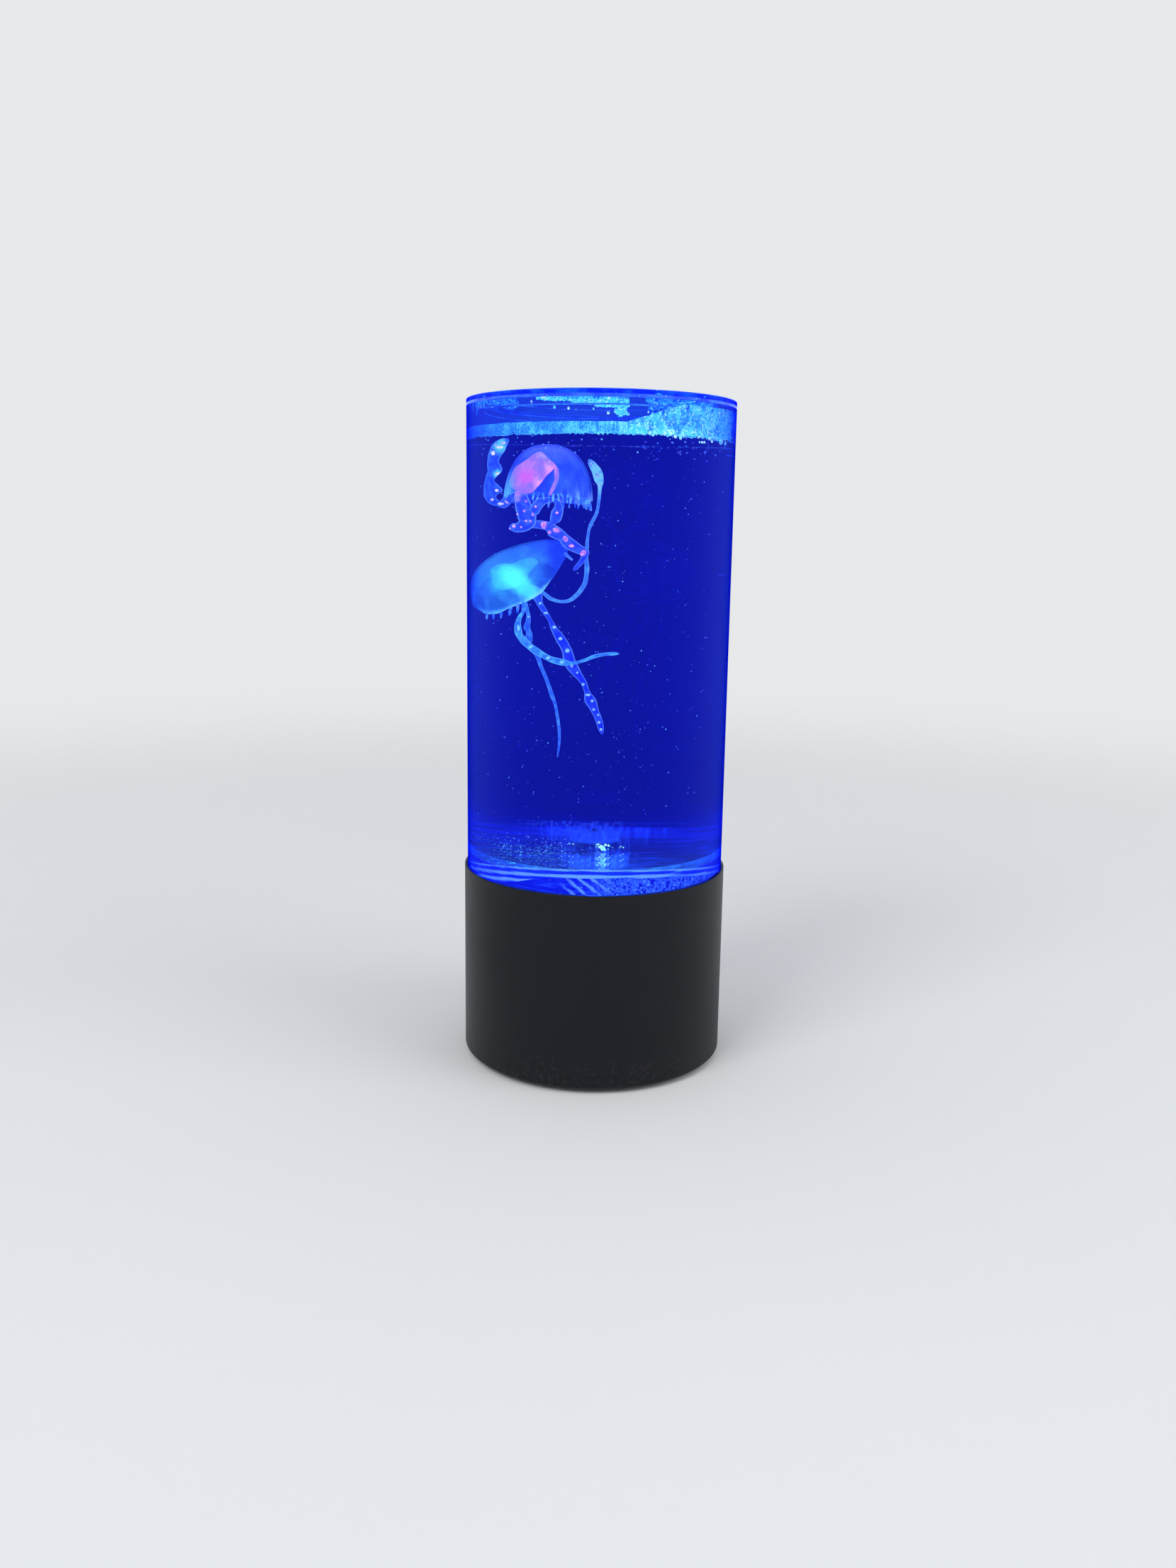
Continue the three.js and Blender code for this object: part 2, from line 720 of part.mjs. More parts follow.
const pinkPlaceShare = [-0.351, -0.314];
const pinkPlace = [
  pinkPlaceShare[0] * boreRadius,
  pinkPlaceShare[1] * boreRadius,
  waterLevel - surfaceGap - pinkBellHeight,
];
const pinkArms = {
  curled_arm: {
    rootShare: [-rootSpacingShare, 0],
    pathShares: [
      [-0.71, 0.27, -0.2], [-1.11, 0.25, -0.22], [-1.37, 0.23, 0.05], [-1.45, 0.17, 0.41],
      [-1.37, 0.08, 0.77], [-1.33, 0.02, 1.08], [-1.12, -0.06, 1.38], [-1, -0.12, 1.53],
    ],
  },
  short_arm: {
    rootShare: [0, 0],
    pathShares: [[-0.32, -0.12, -0.4], [-0.46, -0.14, -0.63], [-0.63, -0.18, -0.77], [-0.91, -0.25, -0.84]],
  },
  loop_arm: {
    rootShare: [0, -rootSpacingShare],
    pathShares: [
      [-0.18, -0.35, -0.34], [0.01, -0.43, -0.2], [0.22, -0.45, -0.18], [0.36, -0.45, -0.38],
      [0.3, -0.43, -0.61], [0.05, -0.41, -0.71],
    ],
  },
  long_arm: {
    rootShare: [0, rootSpacingShare],
    pathShares: [
      [-0.46, 0.31, -0.36], [-0.34, 0.25, -0.61], [-0.05, 0.1, -0.75], [0.24, 0, -0.9],
      [0.49, -0.06, -1.14], [0.71, -0.1, -1.31], [0.89, -0.13, -1.47], [0.67, -0.16, -1.86],
    ],
  },
};
const pinkCoreAsideShare = 0.2;
const pinkSize = {
  radius: pinkBellRadius,
  height: pinkBellHeight,
  hang: pinkBellRadius,
  asideShare: pinkCoreAsideShare,
};
const pinkTilt = { lean: -4, nod: -5 };
jellyfish('pink', pinkSize, pinkPlace, pinkTilt, pinkArms, pinkBellSoft, pinkCoreSoft);

// Lower jellyfish, under the upper one and tipped to the left

const cyanPlaceShare = [-0.484, 0];
const cyanDropShare = 1.752;
const cyanPlace = [
  cyanPlaceShare[0] * boreRadius,
  cyanPlaceShare[1] * boreRadius,
  pinkPlace[2] - cyanDropShare * cyanBellRadius,
];
const cyanArms = {
  rising_tentacle: {
    rootShare: [rootSpacingShare, 0],
    pathShares: [
      [0.53, 0.08, -0.36], [0.73, 0.15, -0.41], [0.95, 0.24, -0.26], [1.1, 0.33, 0.05],
      [1.1, 0.36, 0.52], [1.09, 0.4, 0.88], [1.16, 0.42, 1.32], [1.28, 0.42, 1.73],
      [1.28, 0.42, 2.02], [1.12, 0.42, 2.57],
    ],
  },
  broad_arm: {
    rootShare: [0, 0],
    pathShares: [
      [0.27, -0.11, -0.35], [0.46, -0.22, -0.72], [0.65, -0.28, -1.2], [0.83, -0.31, -1.61],
      [0.99, -0.32, -1.99], [1.14, -0.32, -2.42], [1.32, -0.32, -2.89], [1.41, -0.32, -3.22],
    ],
  },
  thin_arm: {
    rootShare: [0, rootSpacingShare],
    pathShares: [
      [0.08, 0.21, -0.51], [0.17, 0.25, -0.94], [0.21, 0.29, -1.36], [0.38, 0.32, -1.87],
      [0.52, 0.3, -2.32], [0.63, 0.27, -2.87], [0.69, 0.23, -3.37], [0.67, 0.21, -3.82],
    ],
  },
  sweeping_arm: {
    rootShare: [0, -rootSpacingShare],
    pathShares: [
      [-0.01, -0.44, -0.57], [-0.14, -0.55, -0.9], [-0.05, -0.67, -1.21], [0.23, -0.75, -1.43],
      [0.53, -0.81, -1.61], [0.85, -0.84, -1.65], [1.16, -0.84, -1.54], [1.67, -0.82, -1.44],
    ],
  },
};
const cyanHangShare = 0.206;
const cyanRoom = cyanPlace[2] - impellerCoverTop;
const cyanHang = Math.min(cyanBellRadius, cyanHangShare * cyanRoom);
const cyanSize = { radius: cyanBellRadius, height: cyanBellHeight, hang: cyanHang, asideShare: 0 };
const cyanTilt = { lean: 38, nod: 22 };
jellyfish('cyan', cyanSize, cyanPlace, cyanTilt, cyanArms, cyanBellSoft, cyanCoreSoft);

export default lamp;
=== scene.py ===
# Jellyfish lamp: a clear tank of water on a black base, with two soft jellyfish that drift over
# the lights.
# Metres, +Z up, the front faces -Y. Lengths in the tables are millimetres, turned to metres by mm.

import math
import random

import bmesh
import bpy
from mathutils import Matrix, Vector, noise


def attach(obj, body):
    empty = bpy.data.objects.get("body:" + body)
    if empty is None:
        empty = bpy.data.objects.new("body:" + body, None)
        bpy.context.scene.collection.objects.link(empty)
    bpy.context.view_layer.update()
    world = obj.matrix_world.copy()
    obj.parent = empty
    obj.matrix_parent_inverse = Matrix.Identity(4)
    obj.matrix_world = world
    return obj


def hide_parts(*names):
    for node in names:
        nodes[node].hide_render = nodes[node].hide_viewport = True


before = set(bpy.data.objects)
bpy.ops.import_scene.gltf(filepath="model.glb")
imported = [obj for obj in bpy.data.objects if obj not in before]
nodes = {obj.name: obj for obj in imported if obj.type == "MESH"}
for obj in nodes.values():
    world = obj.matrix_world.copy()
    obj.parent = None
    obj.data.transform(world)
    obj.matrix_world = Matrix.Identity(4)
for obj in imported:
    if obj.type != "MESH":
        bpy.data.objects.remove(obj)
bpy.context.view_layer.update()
mm = 0.001

# Camera: half a metre in front of the lamp, a little above its middle and tipped down, as the
# photograph was taken. Its slight roll is the photograph's own.

CAMERA_PLACE = (-3.245 * mm, -545.875 * mm, 225.5 * mm)
CAMERA_DROP = 11.17
CAMERA_ROLL = 0.85
CAMERA_LENS = 29.6

camera_data = bpy.data.cameras.new("camera")
camera_data.lens = CAMERA_LENS
camera_data.clip_start = 0.01
camera = bpy.data.objects.new("camera", camera_data)
bpy.context.scene.collection.objects.link(camera)
camera_tip = Matrix.Rotation(math.radians(90 - CAMERA_DROP), 4, "X")
camera_roll = Matrix.Rotation(math.radians(CAMERA_ROLL), 4, "Z")
camera.matrix_world = Matrix.Translation(CAMERA_PLACE) @ camera_tip @ camera_roll
bpy.context.scene.camera = camera

# Base shell: one moulding of black plastic, a plain drum with a thin collar round the tank, a ledge
# and spigot that carry it, and holes at the back for two buttons and the power inlet.

SHELL_PROFILE = [
    (55.4, 2.0), (56.2, 2.8), (56.2, 83.5), (55.2, 83.5), (55.2, 71.5), (50.7, 71.5), (50.7, 77.5),
    (46.5, 77.5), (46.5, 69.0), (54.0, 69.0), (54.0, 2.0),
]
SHELL_SIDES = 256
SHELL_EASE = 0.3
CONTROL_HEIGHT = 20.0
CONTROL_TURNS = {"power": 20.0, "light": -20.0}
BUTTON_HOLE = 4.4
INLET_HOLE = 4.9
HOLE_CHAMFER = 0.6
HOLE_FACE = 56.5
HOLE_ENDS = (52, 58)
HOLE_SIDES = 64


class Shade:
    """A value or colour in a material, which Python arithmetic turns into nodes."""

    def __init__(self, tree, socket=None):
        self.tree = tree
        self.socket = socket

    def node(self, kind, settings=None, inputs=None, output=0):
        made = self.tree.nodes.new(kind)
        for name, value in (settings or {}).items():
            setattr(made, name, value)
        for name, value in (inputs or {}).items():
            if isinstance(value, Shade):
                self.tree.links.new(value.socket, made.inputs[name])
            else:
                made.inputs[name].default_value = value
        return Shade(self.tree, made.outputs[output])

    def math(self, operation, *values, clamp=False):
        settings = {"operation": operation, "use_clamp": clamp}
        return self.node("ShaderNodeMath", settings, dict(enumerate(values)))

    def __add__(self, other):
        return self.math("ADD", self, other)

    def __rsub__(self, other):
        return self.math("SUBTRACT", other, self)

    def __mul__(self, other):
        return self.math("MULTIPLY", self, other)

    __radd__ = __add__
    __rmul__ = __mul__

    def step(self, low, high):
        inputs = {"Value": self, "From Min": low, "From Max": high}
        return self.node("ShaderNodeMapRange", {"interpolation_type": "SMOOTHSTEP"}, inputs)

    def between(self, low, high):
        """The colour on the way from low to high."""
        low, high = [c if isinstance(c, Shade) else (*c, 1.0) for c in (low, high)]
        inputs = {"Factor": self, 6: low, 7: high}
        return self.node("ShaderNodeMix", {"data_type": "RGBA"}, inputs, 2)

    def place(self, stretch=(1.0, 1.0, 1.0)):
        where = self.node("ShaderNodeTexCoord", output="Object")
        return self.node("ShaderNodeMapping", {}, {"Vector": where, "Scale": stretch})

    def grain(self, size, detail=3.0, stretch=(1.0, 1.0, 1.0), warp=0.0):
        """Noise from 0 to 1 whose lumps are about this many millimetres."""
        inputs = {"Vector": self.place(stretch), "Scale": 1 / (size * mm)}
        return self.node("ShaderNodeTexNoise", {}, {**inputs, "Detail": detail, "Distortion": warp})

    def cells(self, size, feature="F1", stretch=(1.0, 1.0, 1.0)):
        inputs = {"Vector": self.place(stretch), "Scale": 1 / (size * mm)}
        return self.node("ShaderNodeTexVoronoi", {"feature": feature}, inputs)

    def bump(self, height, strength):
        inputs = {"Height": self, "Distance": height * mm, "Strength": strength}
        return self.node("ShaderNodeBump", {}, inputs)

    def axis(self, name):
        return self.node("ShaderNodeSeparateXYZ", {}, {"Vector": self.place()}, name)

    def near(self, spot, inner, outer, stretch=(1.0, 1.0, 1.0)):
        """1 within inner millimetres of the spot, fading to 0 at outer. Its axes may be stretched."""
        centre = tuple(c * s * mm for c, s in zip(spot, stretch))
        ends = {0: self.place(stretch), 1: centre}
        away = self.node("ShaderNodeVectorMath", {"operation": "DISTANCE"}, ends, "Value")
        return away.step(outer * mm, inner * mm)


class Finish(Shade):
    """A new material, whose plain sockets are set by name, as Base_Color or IOR."""

    def __init__(self, name, **sockets):
        self.material = bpy.data.materials.new(name)
        self.material.use_nodes = True
        super().__init__(self.material.node_tree)
        self.shader = self.tree.nodes["Principled BSDF"]
        for socket, value in sockets.items():
            if isinstance(value, tuple):
                value = (*value, 1.0)
            self.shader.inputs[socket.replace("_", " ")].default_value = value

    def feed(self, **sockets):
        """Links each value that varies over the surface to the socket of its name."""
        for socket, value in sockets.items():
            self.tree.links.new(value.socket, self.shader.inputs[socket.replace("_", " ")])


def wear(thing, *made):
    """Puts the finishes in the thing's slots, in turn. Which face wears which stays as it was."""
    slots = thing.data.materials
    for i, one in enumerate(made):
        if i < len(slots):
            slots[i] = one.material
        else:
            slots.append(one.material)


def fitted(thing, slot, body, *stands_for):
    """Attaches the thing to the body it moves with and hides the nodes it replaces. The slot is
    not used.
    """
    if stands_for:
        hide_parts(*stands_for)
    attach(thing, body)


def eased(profile, ease, closed=True):
    """The profile with each corner rounded over, and a point on each side of the rounding that keeps
    the shading of long sides straight."""
    count = len(profile)
    out = []
    for i, corner in enumerate(profile):
        if not closed and i in (0, count - 1):
            out.append(corner)
            continue
        here = Vector(corner)
        before = Vector(profile[i - 1]) - here
        after = Vector(profile[(i + 1) % count]) - here
        reach = min(ease, before.length / 3.2, after.length / 3.2)
        start = here + before.normalized() * reach
        end = here + after.normalized() * reach
        middle = (start + end + 2 * here) / 4
        bend = [start, (start + 2 * middle + here) / 4, middle, (end + 2 * middle + here) / 4, end]
        held = [here + before.normalized() * reach * 1.5, *bend, here + after.normalized() * reach * 1.5]
        out += [tuple(point) for point in held]
    return out


def thing_of(name, mesh):
    made = bpy.data.objects.new(name, mesh)
    bpy.context.scene.collection.objects.link(made)
    return made


def smoothed(mesh, angle=35.0):
    mesh.shade_smooth()
    mesh.set_sharp_from_angle(angle=math.radians(angle))


def bridged(build, rings, closed=False, made=0):
    """Faces from each ring of points to the next. A ring may be a single point."""
    for low, high in list(zip(rings, rings[1:])) + ([(rings[-1], rings[0])] if closed else []):
        sides = max(len(low), len(high))
        for i in range(sides):
            j = (i + 1) % sides
            quad = [low[i % len(low)], low[j % len(low)], high[j % len(high)], high[i % len(high)]]
            corners = list(dict.fromkeys(quad))
            if len(corners) > 2:
                build.faces.new(corners).material_index = made


def meshed(name, build):
    bmesh.ops.recalc_face_normals(build, faces=build.faces)
    mesh = bpy.data.meshes.new(name)
    build.to_mesh(mesh)
    build.free()
    mesh.shade_smooth()
    return mesh


def turned_mesh(name, profile, sides, closed=True, place=(0.0, 0.0, 0.0), wave=None):
    """A mesh turned about an upright axis from points of radius and height in millimetres."""
    build = bmesh.new()
    rings = []
    for radius, height in profile:
        ring = []
        for i in range(sides if radius > 1e-6 else 1):
            turn = 2 * math.pi * i / sides
            r, h = wave(radius, height, turn) if wave else (radius, height)
            spot = Vector((r * math.cos(turn), r * math.sin(turn), h)) + Vector(place)
            ring.append(build.verts.new(spot * mm))
        rings.append(ring)
    bridged(build, rings, closed)
    mesh = meshed(name, build)
    smoothed(mesh)
    return mesh


def turned(name, profile, sides=SHELL_SIDES, ease=0.2, closed=True, **more):
    return thing_of(name, turned_mesh(name, eased(profile, ease, closed), sides, closed, **more))


def block(name, size, centre=(0, 0, 0), ease=0.0, segments=2):
    """A box of this size about this centre in millimetres, with its edges eased."""
    build = bmesh.new()
    bmesh.ops.create_cube(build, size=1.0)
    own = Matrix.Translation(Vector(centre) * mm) @ Matrix.Diagonal((*[side * mm for side in size], 1))
    bmesh.ops.transform(build, matrix=own, verts=build.verts)
    if ease:
        bmesh.ops.bevel(build, geom=build.edges, offset=ease * mm, segments=segments, affect="EDGES")
    mesh = bpy.data.meshes.new(name)
    build.to_mesh(mesh)
    build.free()
    return mesh


def lying(turn, mesh):
    """Lays an upright turned mesh along the base's radius at the controls' height."""
    mesh.transform(Matrix.Rotation(math.radians(-90), 4, "X"))
    mesh.transform(Matrix.Translation((0, 0, CONTROL_HEIGHT * mm)))
    mesh.transform(Matrix.Rotation(math.radians(turn), 4, "Z"))
    return mesh


def cut_by(thing, cutters, operation="DIFFERENCE"):
    for cutter in cutters:
        cut = thing.modifiers.new("cut", "BOOLEAN")
        cut.operation = operation
        cut.solver = "EXACT"
        cut.object = cutter
    made_plain(thing)
    for cutter in cutters:
        bpy.data.objects.remove(cutter)


def made_plain(thing):
    """Puts the modifiers' result in the thing's own mesh."""
    graph = bpy.context.evaluated_depsgraph_get()
    mesh = bpy.data.meshes.new_from_object(thing.evaluated_get(graph))
    thing.modifiers.clear()
    thing.data = mesh


shell = turned("base_shell", SHELL_PROFILE, ease=SHELL_EASE)
holes = []
openings = [(label, turn, BUTTON_HOLE) for label, turn in CONTROL_TURNS.items()]
for label, turn, radius in openings + [("inlet", 0.0, INLET_HOLE)]:
    wide = radius + HOLE_CHAMFER
    low, high = HOLE_ENDS
    hole = [
        (0, low), (radius, low), (radius, HOLE_FACE - HOLE_CHAMFER), (wide, HOLE_FACE), (wide, high),
        (0, high),
    ]
    mesh = turned_mesh(label, hole, HOLE_SIDES, closed=False)
    holes.append(thing_of(label + "_hole", lying(turn, mesh)))
cut_by(shell, holes)
smoothed(shell.data)

black = Finish("black_moulding", Roughness=0.42, Specular_IOR_Level=0.22)
handling = black.grain(38, 4, (1, 1, 0.5)).step(0.35, 0.75)
fine = black.grain(0.35, 2)
dust = black.axis("Z").step(0.022, 0.002) * black.grain(1.6, 4).step(0.5, 0.72)
black.feed(
    Base_Color=(dust * 0.5).between((0.004, 0.0045, 0.008), (0.035, 0.035, 0.042)),
    Roughness=(handling * 0.1 + dust * 0.2) + 0.4,
    Normal=fine.bump(0.02, 0.35),
)
wear(shell, black)
fitted(shell, "black_plastic", "base", "base_housing")

# Bottom cover: a black disc let into the shell from below, held by four pan-head screws in
# counterbores, with four rubber feet glued on.

COVER_PROFILE = [(0, 2.0), (53.7, 2.0), (53.7, 5.0), (0, 5.0)]
FOOT_CIRCLE = 40.0
FOOT_SIDES = 64
FOOT_PROFILE = [(0, 0), (4.4, 0), (5, 0.6), (5, 1.7), (0, 1.7)]
SCREW_PLACE = 34.86
SCREW_SIDES = 48
SCREW_HEAD = [(0, 2.0), (1.9, 2.0), (2.8, 2.5), (2.8, 3.6), (1.4, 3.6), (1.4, 11.0), (0, 11.0)]
SCREW_SLOTS = ((3.2, 0.6, 1.8), (0.6, 3.2, 1.8))
SLOT_CENTRE = (0, 0, 2.0)
SCREW_TURNS = (0.4, 1.1, 2.0, 0.9)
SCREW_BORE = [(0, 0.5), (3.1, 0.5), (3.1, 3.9), (1.7, 3.9), (1.7, 7.0), (0, 7.0)]


def on_points(name, places, part, made, turns=None, sizes=None):
    """Sets a copy of the part at each place by a node tree, and joins the copies in one mesh."""
    spots = bpy.data.meshes.new(name + "_places")
    spots.from_pydata([tuple(c * mm for c in place) for place in places], [], [])
    spots.attributes.new("turn", "FLOAT_VECTOR", "POINT")
    spots.attributes.new("size", "FLOAT", "POINT")
    for i in range(len(places)):
        spots.attributes["turn"].data[i].vector = turns[i] if turns else (0.0, 0.0, 0.0)
        spots.attributes["size"].data[i].value = sizes[i] if sizes else 1.0
    thing = thing_of(name, spots)
    tree = bpy.data.node_groups.new(name, "GeometryNodeTree")
    tree.interface.new_socket("Places", in_out="INPUT", socket_type="NodeSocketGeometry")
    part_socket = tree.interface.new_socket("Part", in_out="INPUT", socket_type="NodeSocketObject")
    size_socket = tree.interface.new_socket("Size", in_out="INPUT", socket_type="NodeSocketFloat")
    tree.interface.new_socket("Result", in_out="OUTPUT", socket_type="NodeSocketGeometry")
    start = tree.nodes.new("NodeGroupInput")
    end = tree.nodes.new("NodeGroupOutput")
    info = tree.nodes.new("GeometryNodeObjectInfo")
    turning = tree.nodes.new("GeometryNodeInputNamedAttribute")
    turning.data_type = "FLOAT_VECTOR"
    turning.inputs["Name"].default_value = "turn"
    sizing = tree.nodes.new("GeometryNodeInputNamedAttribute")
    sizing.data_type = "FLOAT"
    sizing.inputs["Name"].default_value = "size"
    scale = tree.nodes.new("ShaderNodeMath")
    scale.operation = "MULTIPLY"
    copies = tree.nodes.new("GeometryNodeInstanceOnPoints")
    real = tree.nodes.new("GeometryNodeRealizeInstances")
    paint = tree.nodes.new("GeometryNodeSetMaterial")
    paint.inputs["Material"].default_value = made.material
    join = tree.links.new
    join(start.outputs["Places"], copies.inputs["Points"])
    join(start.outputs["Part"], info.inputs["Object"])
    join(info.outputs["Geometry"], copies.inputs["Instance"])
    join(turning.outputs["Attribute"], copies.inputs["Rotation"])
    join(start.outputs["Size"], scale.inputs[0])
    join(sizing.outputs["Attribute"], scale.inputs[1])
    join(scale.outputs["Value"], copies.inputs["Scale"])
    join(copies.outputs["Instances"], real.inputs["Geometry"])
    join(real.outputs["Geometry"], paint.inputs["Geometry"])
    join(paint.outputs["Geometry"], end.inputs["Result"])
    rows = thing.modifiers.new("rows", "NODES")
    rows.node_group = tree
    rows[part_socket.identifier] = part
    rows[size_socket.identifier] = 1.0
    made_plain(thing)
    bpy.data.objects.remove(part)
    return thing


both_ways = (SCREW_PLACE, -SCREW_PLACE)
screw_places = [(x, y, 0.0) for x in both_ways for y in both_ways]
cover = turned("bottom_cover", COVER_PROFILE, closed=False)
bores = []
for spot in screw_places:
    mesh = turned_mesh("bore", SCREW_BORE, SCREW_SIDES, closed=False, place=spot)
    bores.append(thing_of("bore", mesh))
cut_by(cover, bores)
smoothed(cover.data)
wear(cover, black)
fitted(cover, "black_plastic", "base", "base_bottom_cover")

rubber = Finish("black_rubber", Base_Color=(0.02, 0.02, 0.02), Roughness=0.8)
scuff = rubber.grain(1.2, 5)
rubber.feed(
    Base_Color=scuff.between((0.012, 0.012, 0.012), (0.04, 0.039, 0.037)),
    Roughness=scuff * 0.25 + 0.65,
    Normal=rubber.grain(0.25, 3).bump(0.04, 0.5),
)
foot = turned("foot", FOOT_PROFILE, FOOT_SIDES, ease=0.25, closed=False)
foot_places = [(FOOT_CIRCLE * x, FOOT_CIRCLE * y, 0) for x, y in ((1, 0), (0, 1), (-1, 0), (0, -1))]
feet = on_points("rubber_feet", foot_places, foot, rubber)
smoothed(feet.data)
fitted(feet, "black_rubber", "base", *[f"rubber_foot_{i}" for i in (1, 2, 3, 4)])

zinc = Finish("zinc_plate", Metallic=1.0)
brushed = zinc.grain(0.5, 4, (1, 1, 6))
zinc.feed(
    Base_Color=zinc.grain(3, 3).between((0.42, 0.43, 0.45), (0.62, 0.62, 0.62)),
    Roughness=brushed * 0.25 + 0.25,
    Normal=brushed.bump(0.01, 0.3),
)
screw = turned("screw", SCREW_HEAD, SCREW_SIDES, closed=False)
cut_by(screw, [thing_of("slot", block("slot", size, SLOT_CENTRE)) for size in SCREW_SLOTS])
screw_turns = [(0, 0, turn) for turn in SCREW_TURNS]
screws = on_points("cover_screws", screw_places, screw, zinc, screw_turns)
smoothed(screws.data)
fitted(screws, "steel", "base", *[f"cover_screw_{i}" for i in (1, 2, 3, 4)])

# Rear controls: two round caps that press in against springy switches, and a round power inlet with
# a centre pin, all in dark grey moulded plastic.

CAP_PROFILE = [
    (0, 47.52), (1.5, 47.52), (1.5, 52.1), (5.5, 52.1), (5.5, 53.2), (4.0, 53.2), (4.0, 56.8),
    (3.3, 56.8), (2.7, 56.55), (0, 56.5),
]
INLET_PROFILE = [
    (0, 50.0), (4.6, 50.0), (4.6, 55.7), (3.0, 55.7), (2.8, 55.4), (2.8, 51.0), (1.0, 51.0),
    (1.0, 54.9), (0, 55.2),
]
INLET_BOX = ((9.0, 11.0, 12.2), (0, 44.8, CONTROL_HEIGHT))
CONTROL_SIDES = 96

grey = Finish("grey_moulding", Base_Color=(0.04, 0.042, 0.048), Roughness=0.5)
cloud = grey.grain(6, 4)
grey.feed(
    Base_Color=cloud.between((0.03, 0.032, 0.036), (0.055, 0.058, 0.064)),
    Roughness=cloud * 0.15 + 0.4,
    Normal=grey.grain(0.3, 2).bump(0.02, 0.4),
)
for label, turn in CONTROL_TURNS.items():
    mesh = turned_mesh(label, eased(CAP_PROFILE, 0.3, False), CONTROL_SIDES, closed=False)
    cap = thing_of(label + "_cap", lying(turn, mesh))
    wear(cap, grey)
    fitted(cap, "grey_plastic", label + "_button", label + "_button")

mesh = turned_mesh("inlet", eased(INLET_PROFILE, 0.15, False), CONTROL_SIDES, closed=False)
inlet = thing_of("inlet_socket", lying(0, mesh))
cut_by(inlet, [thing_of("inlet_box", block("inlet_box", *INLET_BOX, ease=0.4))], "UNION")
smoothed(inlet.data)
wear(inlet, grey)
fitted(inlet, "grey_plastic", "base", "power_inlet")

# Works inside the base: control board, switches, leads, the motor on its plate and the magnets it
# turns under the tank's floor. Stock pieces, screwed and soldered in place.

board = Finish("green_board", Roughness=0.35)
tracks = board.cells(3.5, "DISTANCE_TO_EDGE").step(0.04, 0.06)
board.feed(
    Base_Color=tracks.between((0.04, 0.22, 0.09), (0.015, 0.11, 0.045)),
    Roughness=board.grain(2, 3) * 0.2 + 0.25,
    Normal=tracks.bump(0.03, 0.4),
)
wire = Finish("red_wire", Base_Color=(0.35, 0.02, 0.02), Roughness=0.4)
wire.feed(
    Base_Color=wire.grain(4, 2).between((0.28, 0.012, 0.012), (0.42, 0.03, 0.03)),
    Roughness=wire.grain(0.6, 3) * 0.25 + 0.3,
)
nickel = Finish("nickel_plate", Metallic=1.0, Roughness=0.2)
nickel.feed(
    Base_Color=nickel.grain(2, 3).between((0.5, 0.49, 0.47), (0.68, 0.67, 0.65)),
    Roughness=nickel.grain(0.7, 4) * 0.2 + 0.12,
)
for made, names in (
    (board, ("control_board",)),
    (wire, ("motor_lead", "light_lead")),
    (grey, ("power_switch", "light_switch")),
    (zinc, ("motor_plate", "motor_plate_screw_1", "motor_plate_screw_2", "motor_can", "motor_shaft")),
    (rubber, ("tank_seal",)),
):
    for name in names:
        wear(nodes[name], made)

HOLDER_PROFILE = [(0, 79.6), (4, 79.6), (4, 83.6), (12.5, 83.6), (12.5, 85.6), (0, 85.6)]
MAGNET_PROFILE = [(0, 85.9), (4, 85.9), (4, 88.1), (0, 88.1)]
MAGNET_PLACES = (7.5, -7.5)
ROTOR_SIDES = 96
holder = turned("magnet_carrier", HOLDER_PROFILE, ROTOR_SIDES, closed=False)
wear(holder, grey)
fitted(holder, "grey_plastic", "motor_rotor", "magnet_holder")
for i, x in enumerate(MAGNET_PLACES):
    magnet = turned(f"magnet_{i + 1}", MAGNET_PROFILE, HOLE_SIDES, closed=False, place=(x, 0, 0))
    wear(magnet, nickel)
    fitted(magnet, "magnet_metal", "motor_rotor", f"drive_magnet_{i + 1}")

# Light board: a white ring of circuit board on the spigot, with six square blue lamps soldered on
# its face that shine up through the floor of the tank.

LIGHT_BOARD = [(16, 77.8), (50.7, 77.8), (50.7, 79.4), (16, 79.4)]
BOARD_SIDES = 128
LAMP_CIRCLE = 36.0
LAMP_COUNT = 6
LAMP_SIZE = (5, 5, 1.6)
LAMP_HEIGHT = 80.5
LAMP_GLOW = 2.5

white_board = Finish("white_board", Roughness=0.4)
pads = white_board.cells(5, "DISTANCE_TO_EDGE").step(0.02, 0.05)
white_board.feed(
    Base_Color=pads.between((0.25, 0.3, 0.45), (0.5, 0.58, 0.8)),
    Roughness=white_board.grain(1.5, 3) * 0.2 + 0.3,
)
light_board = turned("lamp_board", LIGHT_BOARD, BOARD_SIDES, ease=0.1)
wear(light_board, white_board)
fitted(light_board, "board_white", "base", "light_board")

lamp_lens = Finish("blue_lamp", Base_Color=(0.1, 0.25, 1.0), Roughness=0.2)
spot = lamp_lens.grain(1.4, 2)
lamp_lens.feed(
    Base_Color=spot.between((0.1, 0.2, 0.9), (0.3, 0.5, 1.0)),
    Emission_Color=spot.between((0.05, 0.25, 1.0), (0.3, 0.7, 1.0)),
)
lamp_lens.shader.inputs["Emission Strength"].default_value = LAMP_GLOW
lamp = thing_of("lamp", block("lamp", LAMP_SIZE, ease=0.3, segments=3))
lamp_turns = [2 * math.pi * (i + 0.5) / LAMP_COUNT for i in range(LAMP_COUNT)]
lamp_places = [(LAMP_CIRCLE * math.cos(t), LAMP_CIRCLE * math.sin(t), LAMP_HEIGHT) for t in lamp_turns]
lamps = on_points("lamp_diodes", lamp_places, lamp, lamp_lens)
smoothed(lamps.data)
fitted(lamps, "diode_lens", "base", *[f"light_diode_{i + 1}" for i in range(LAMP_COUNT)])
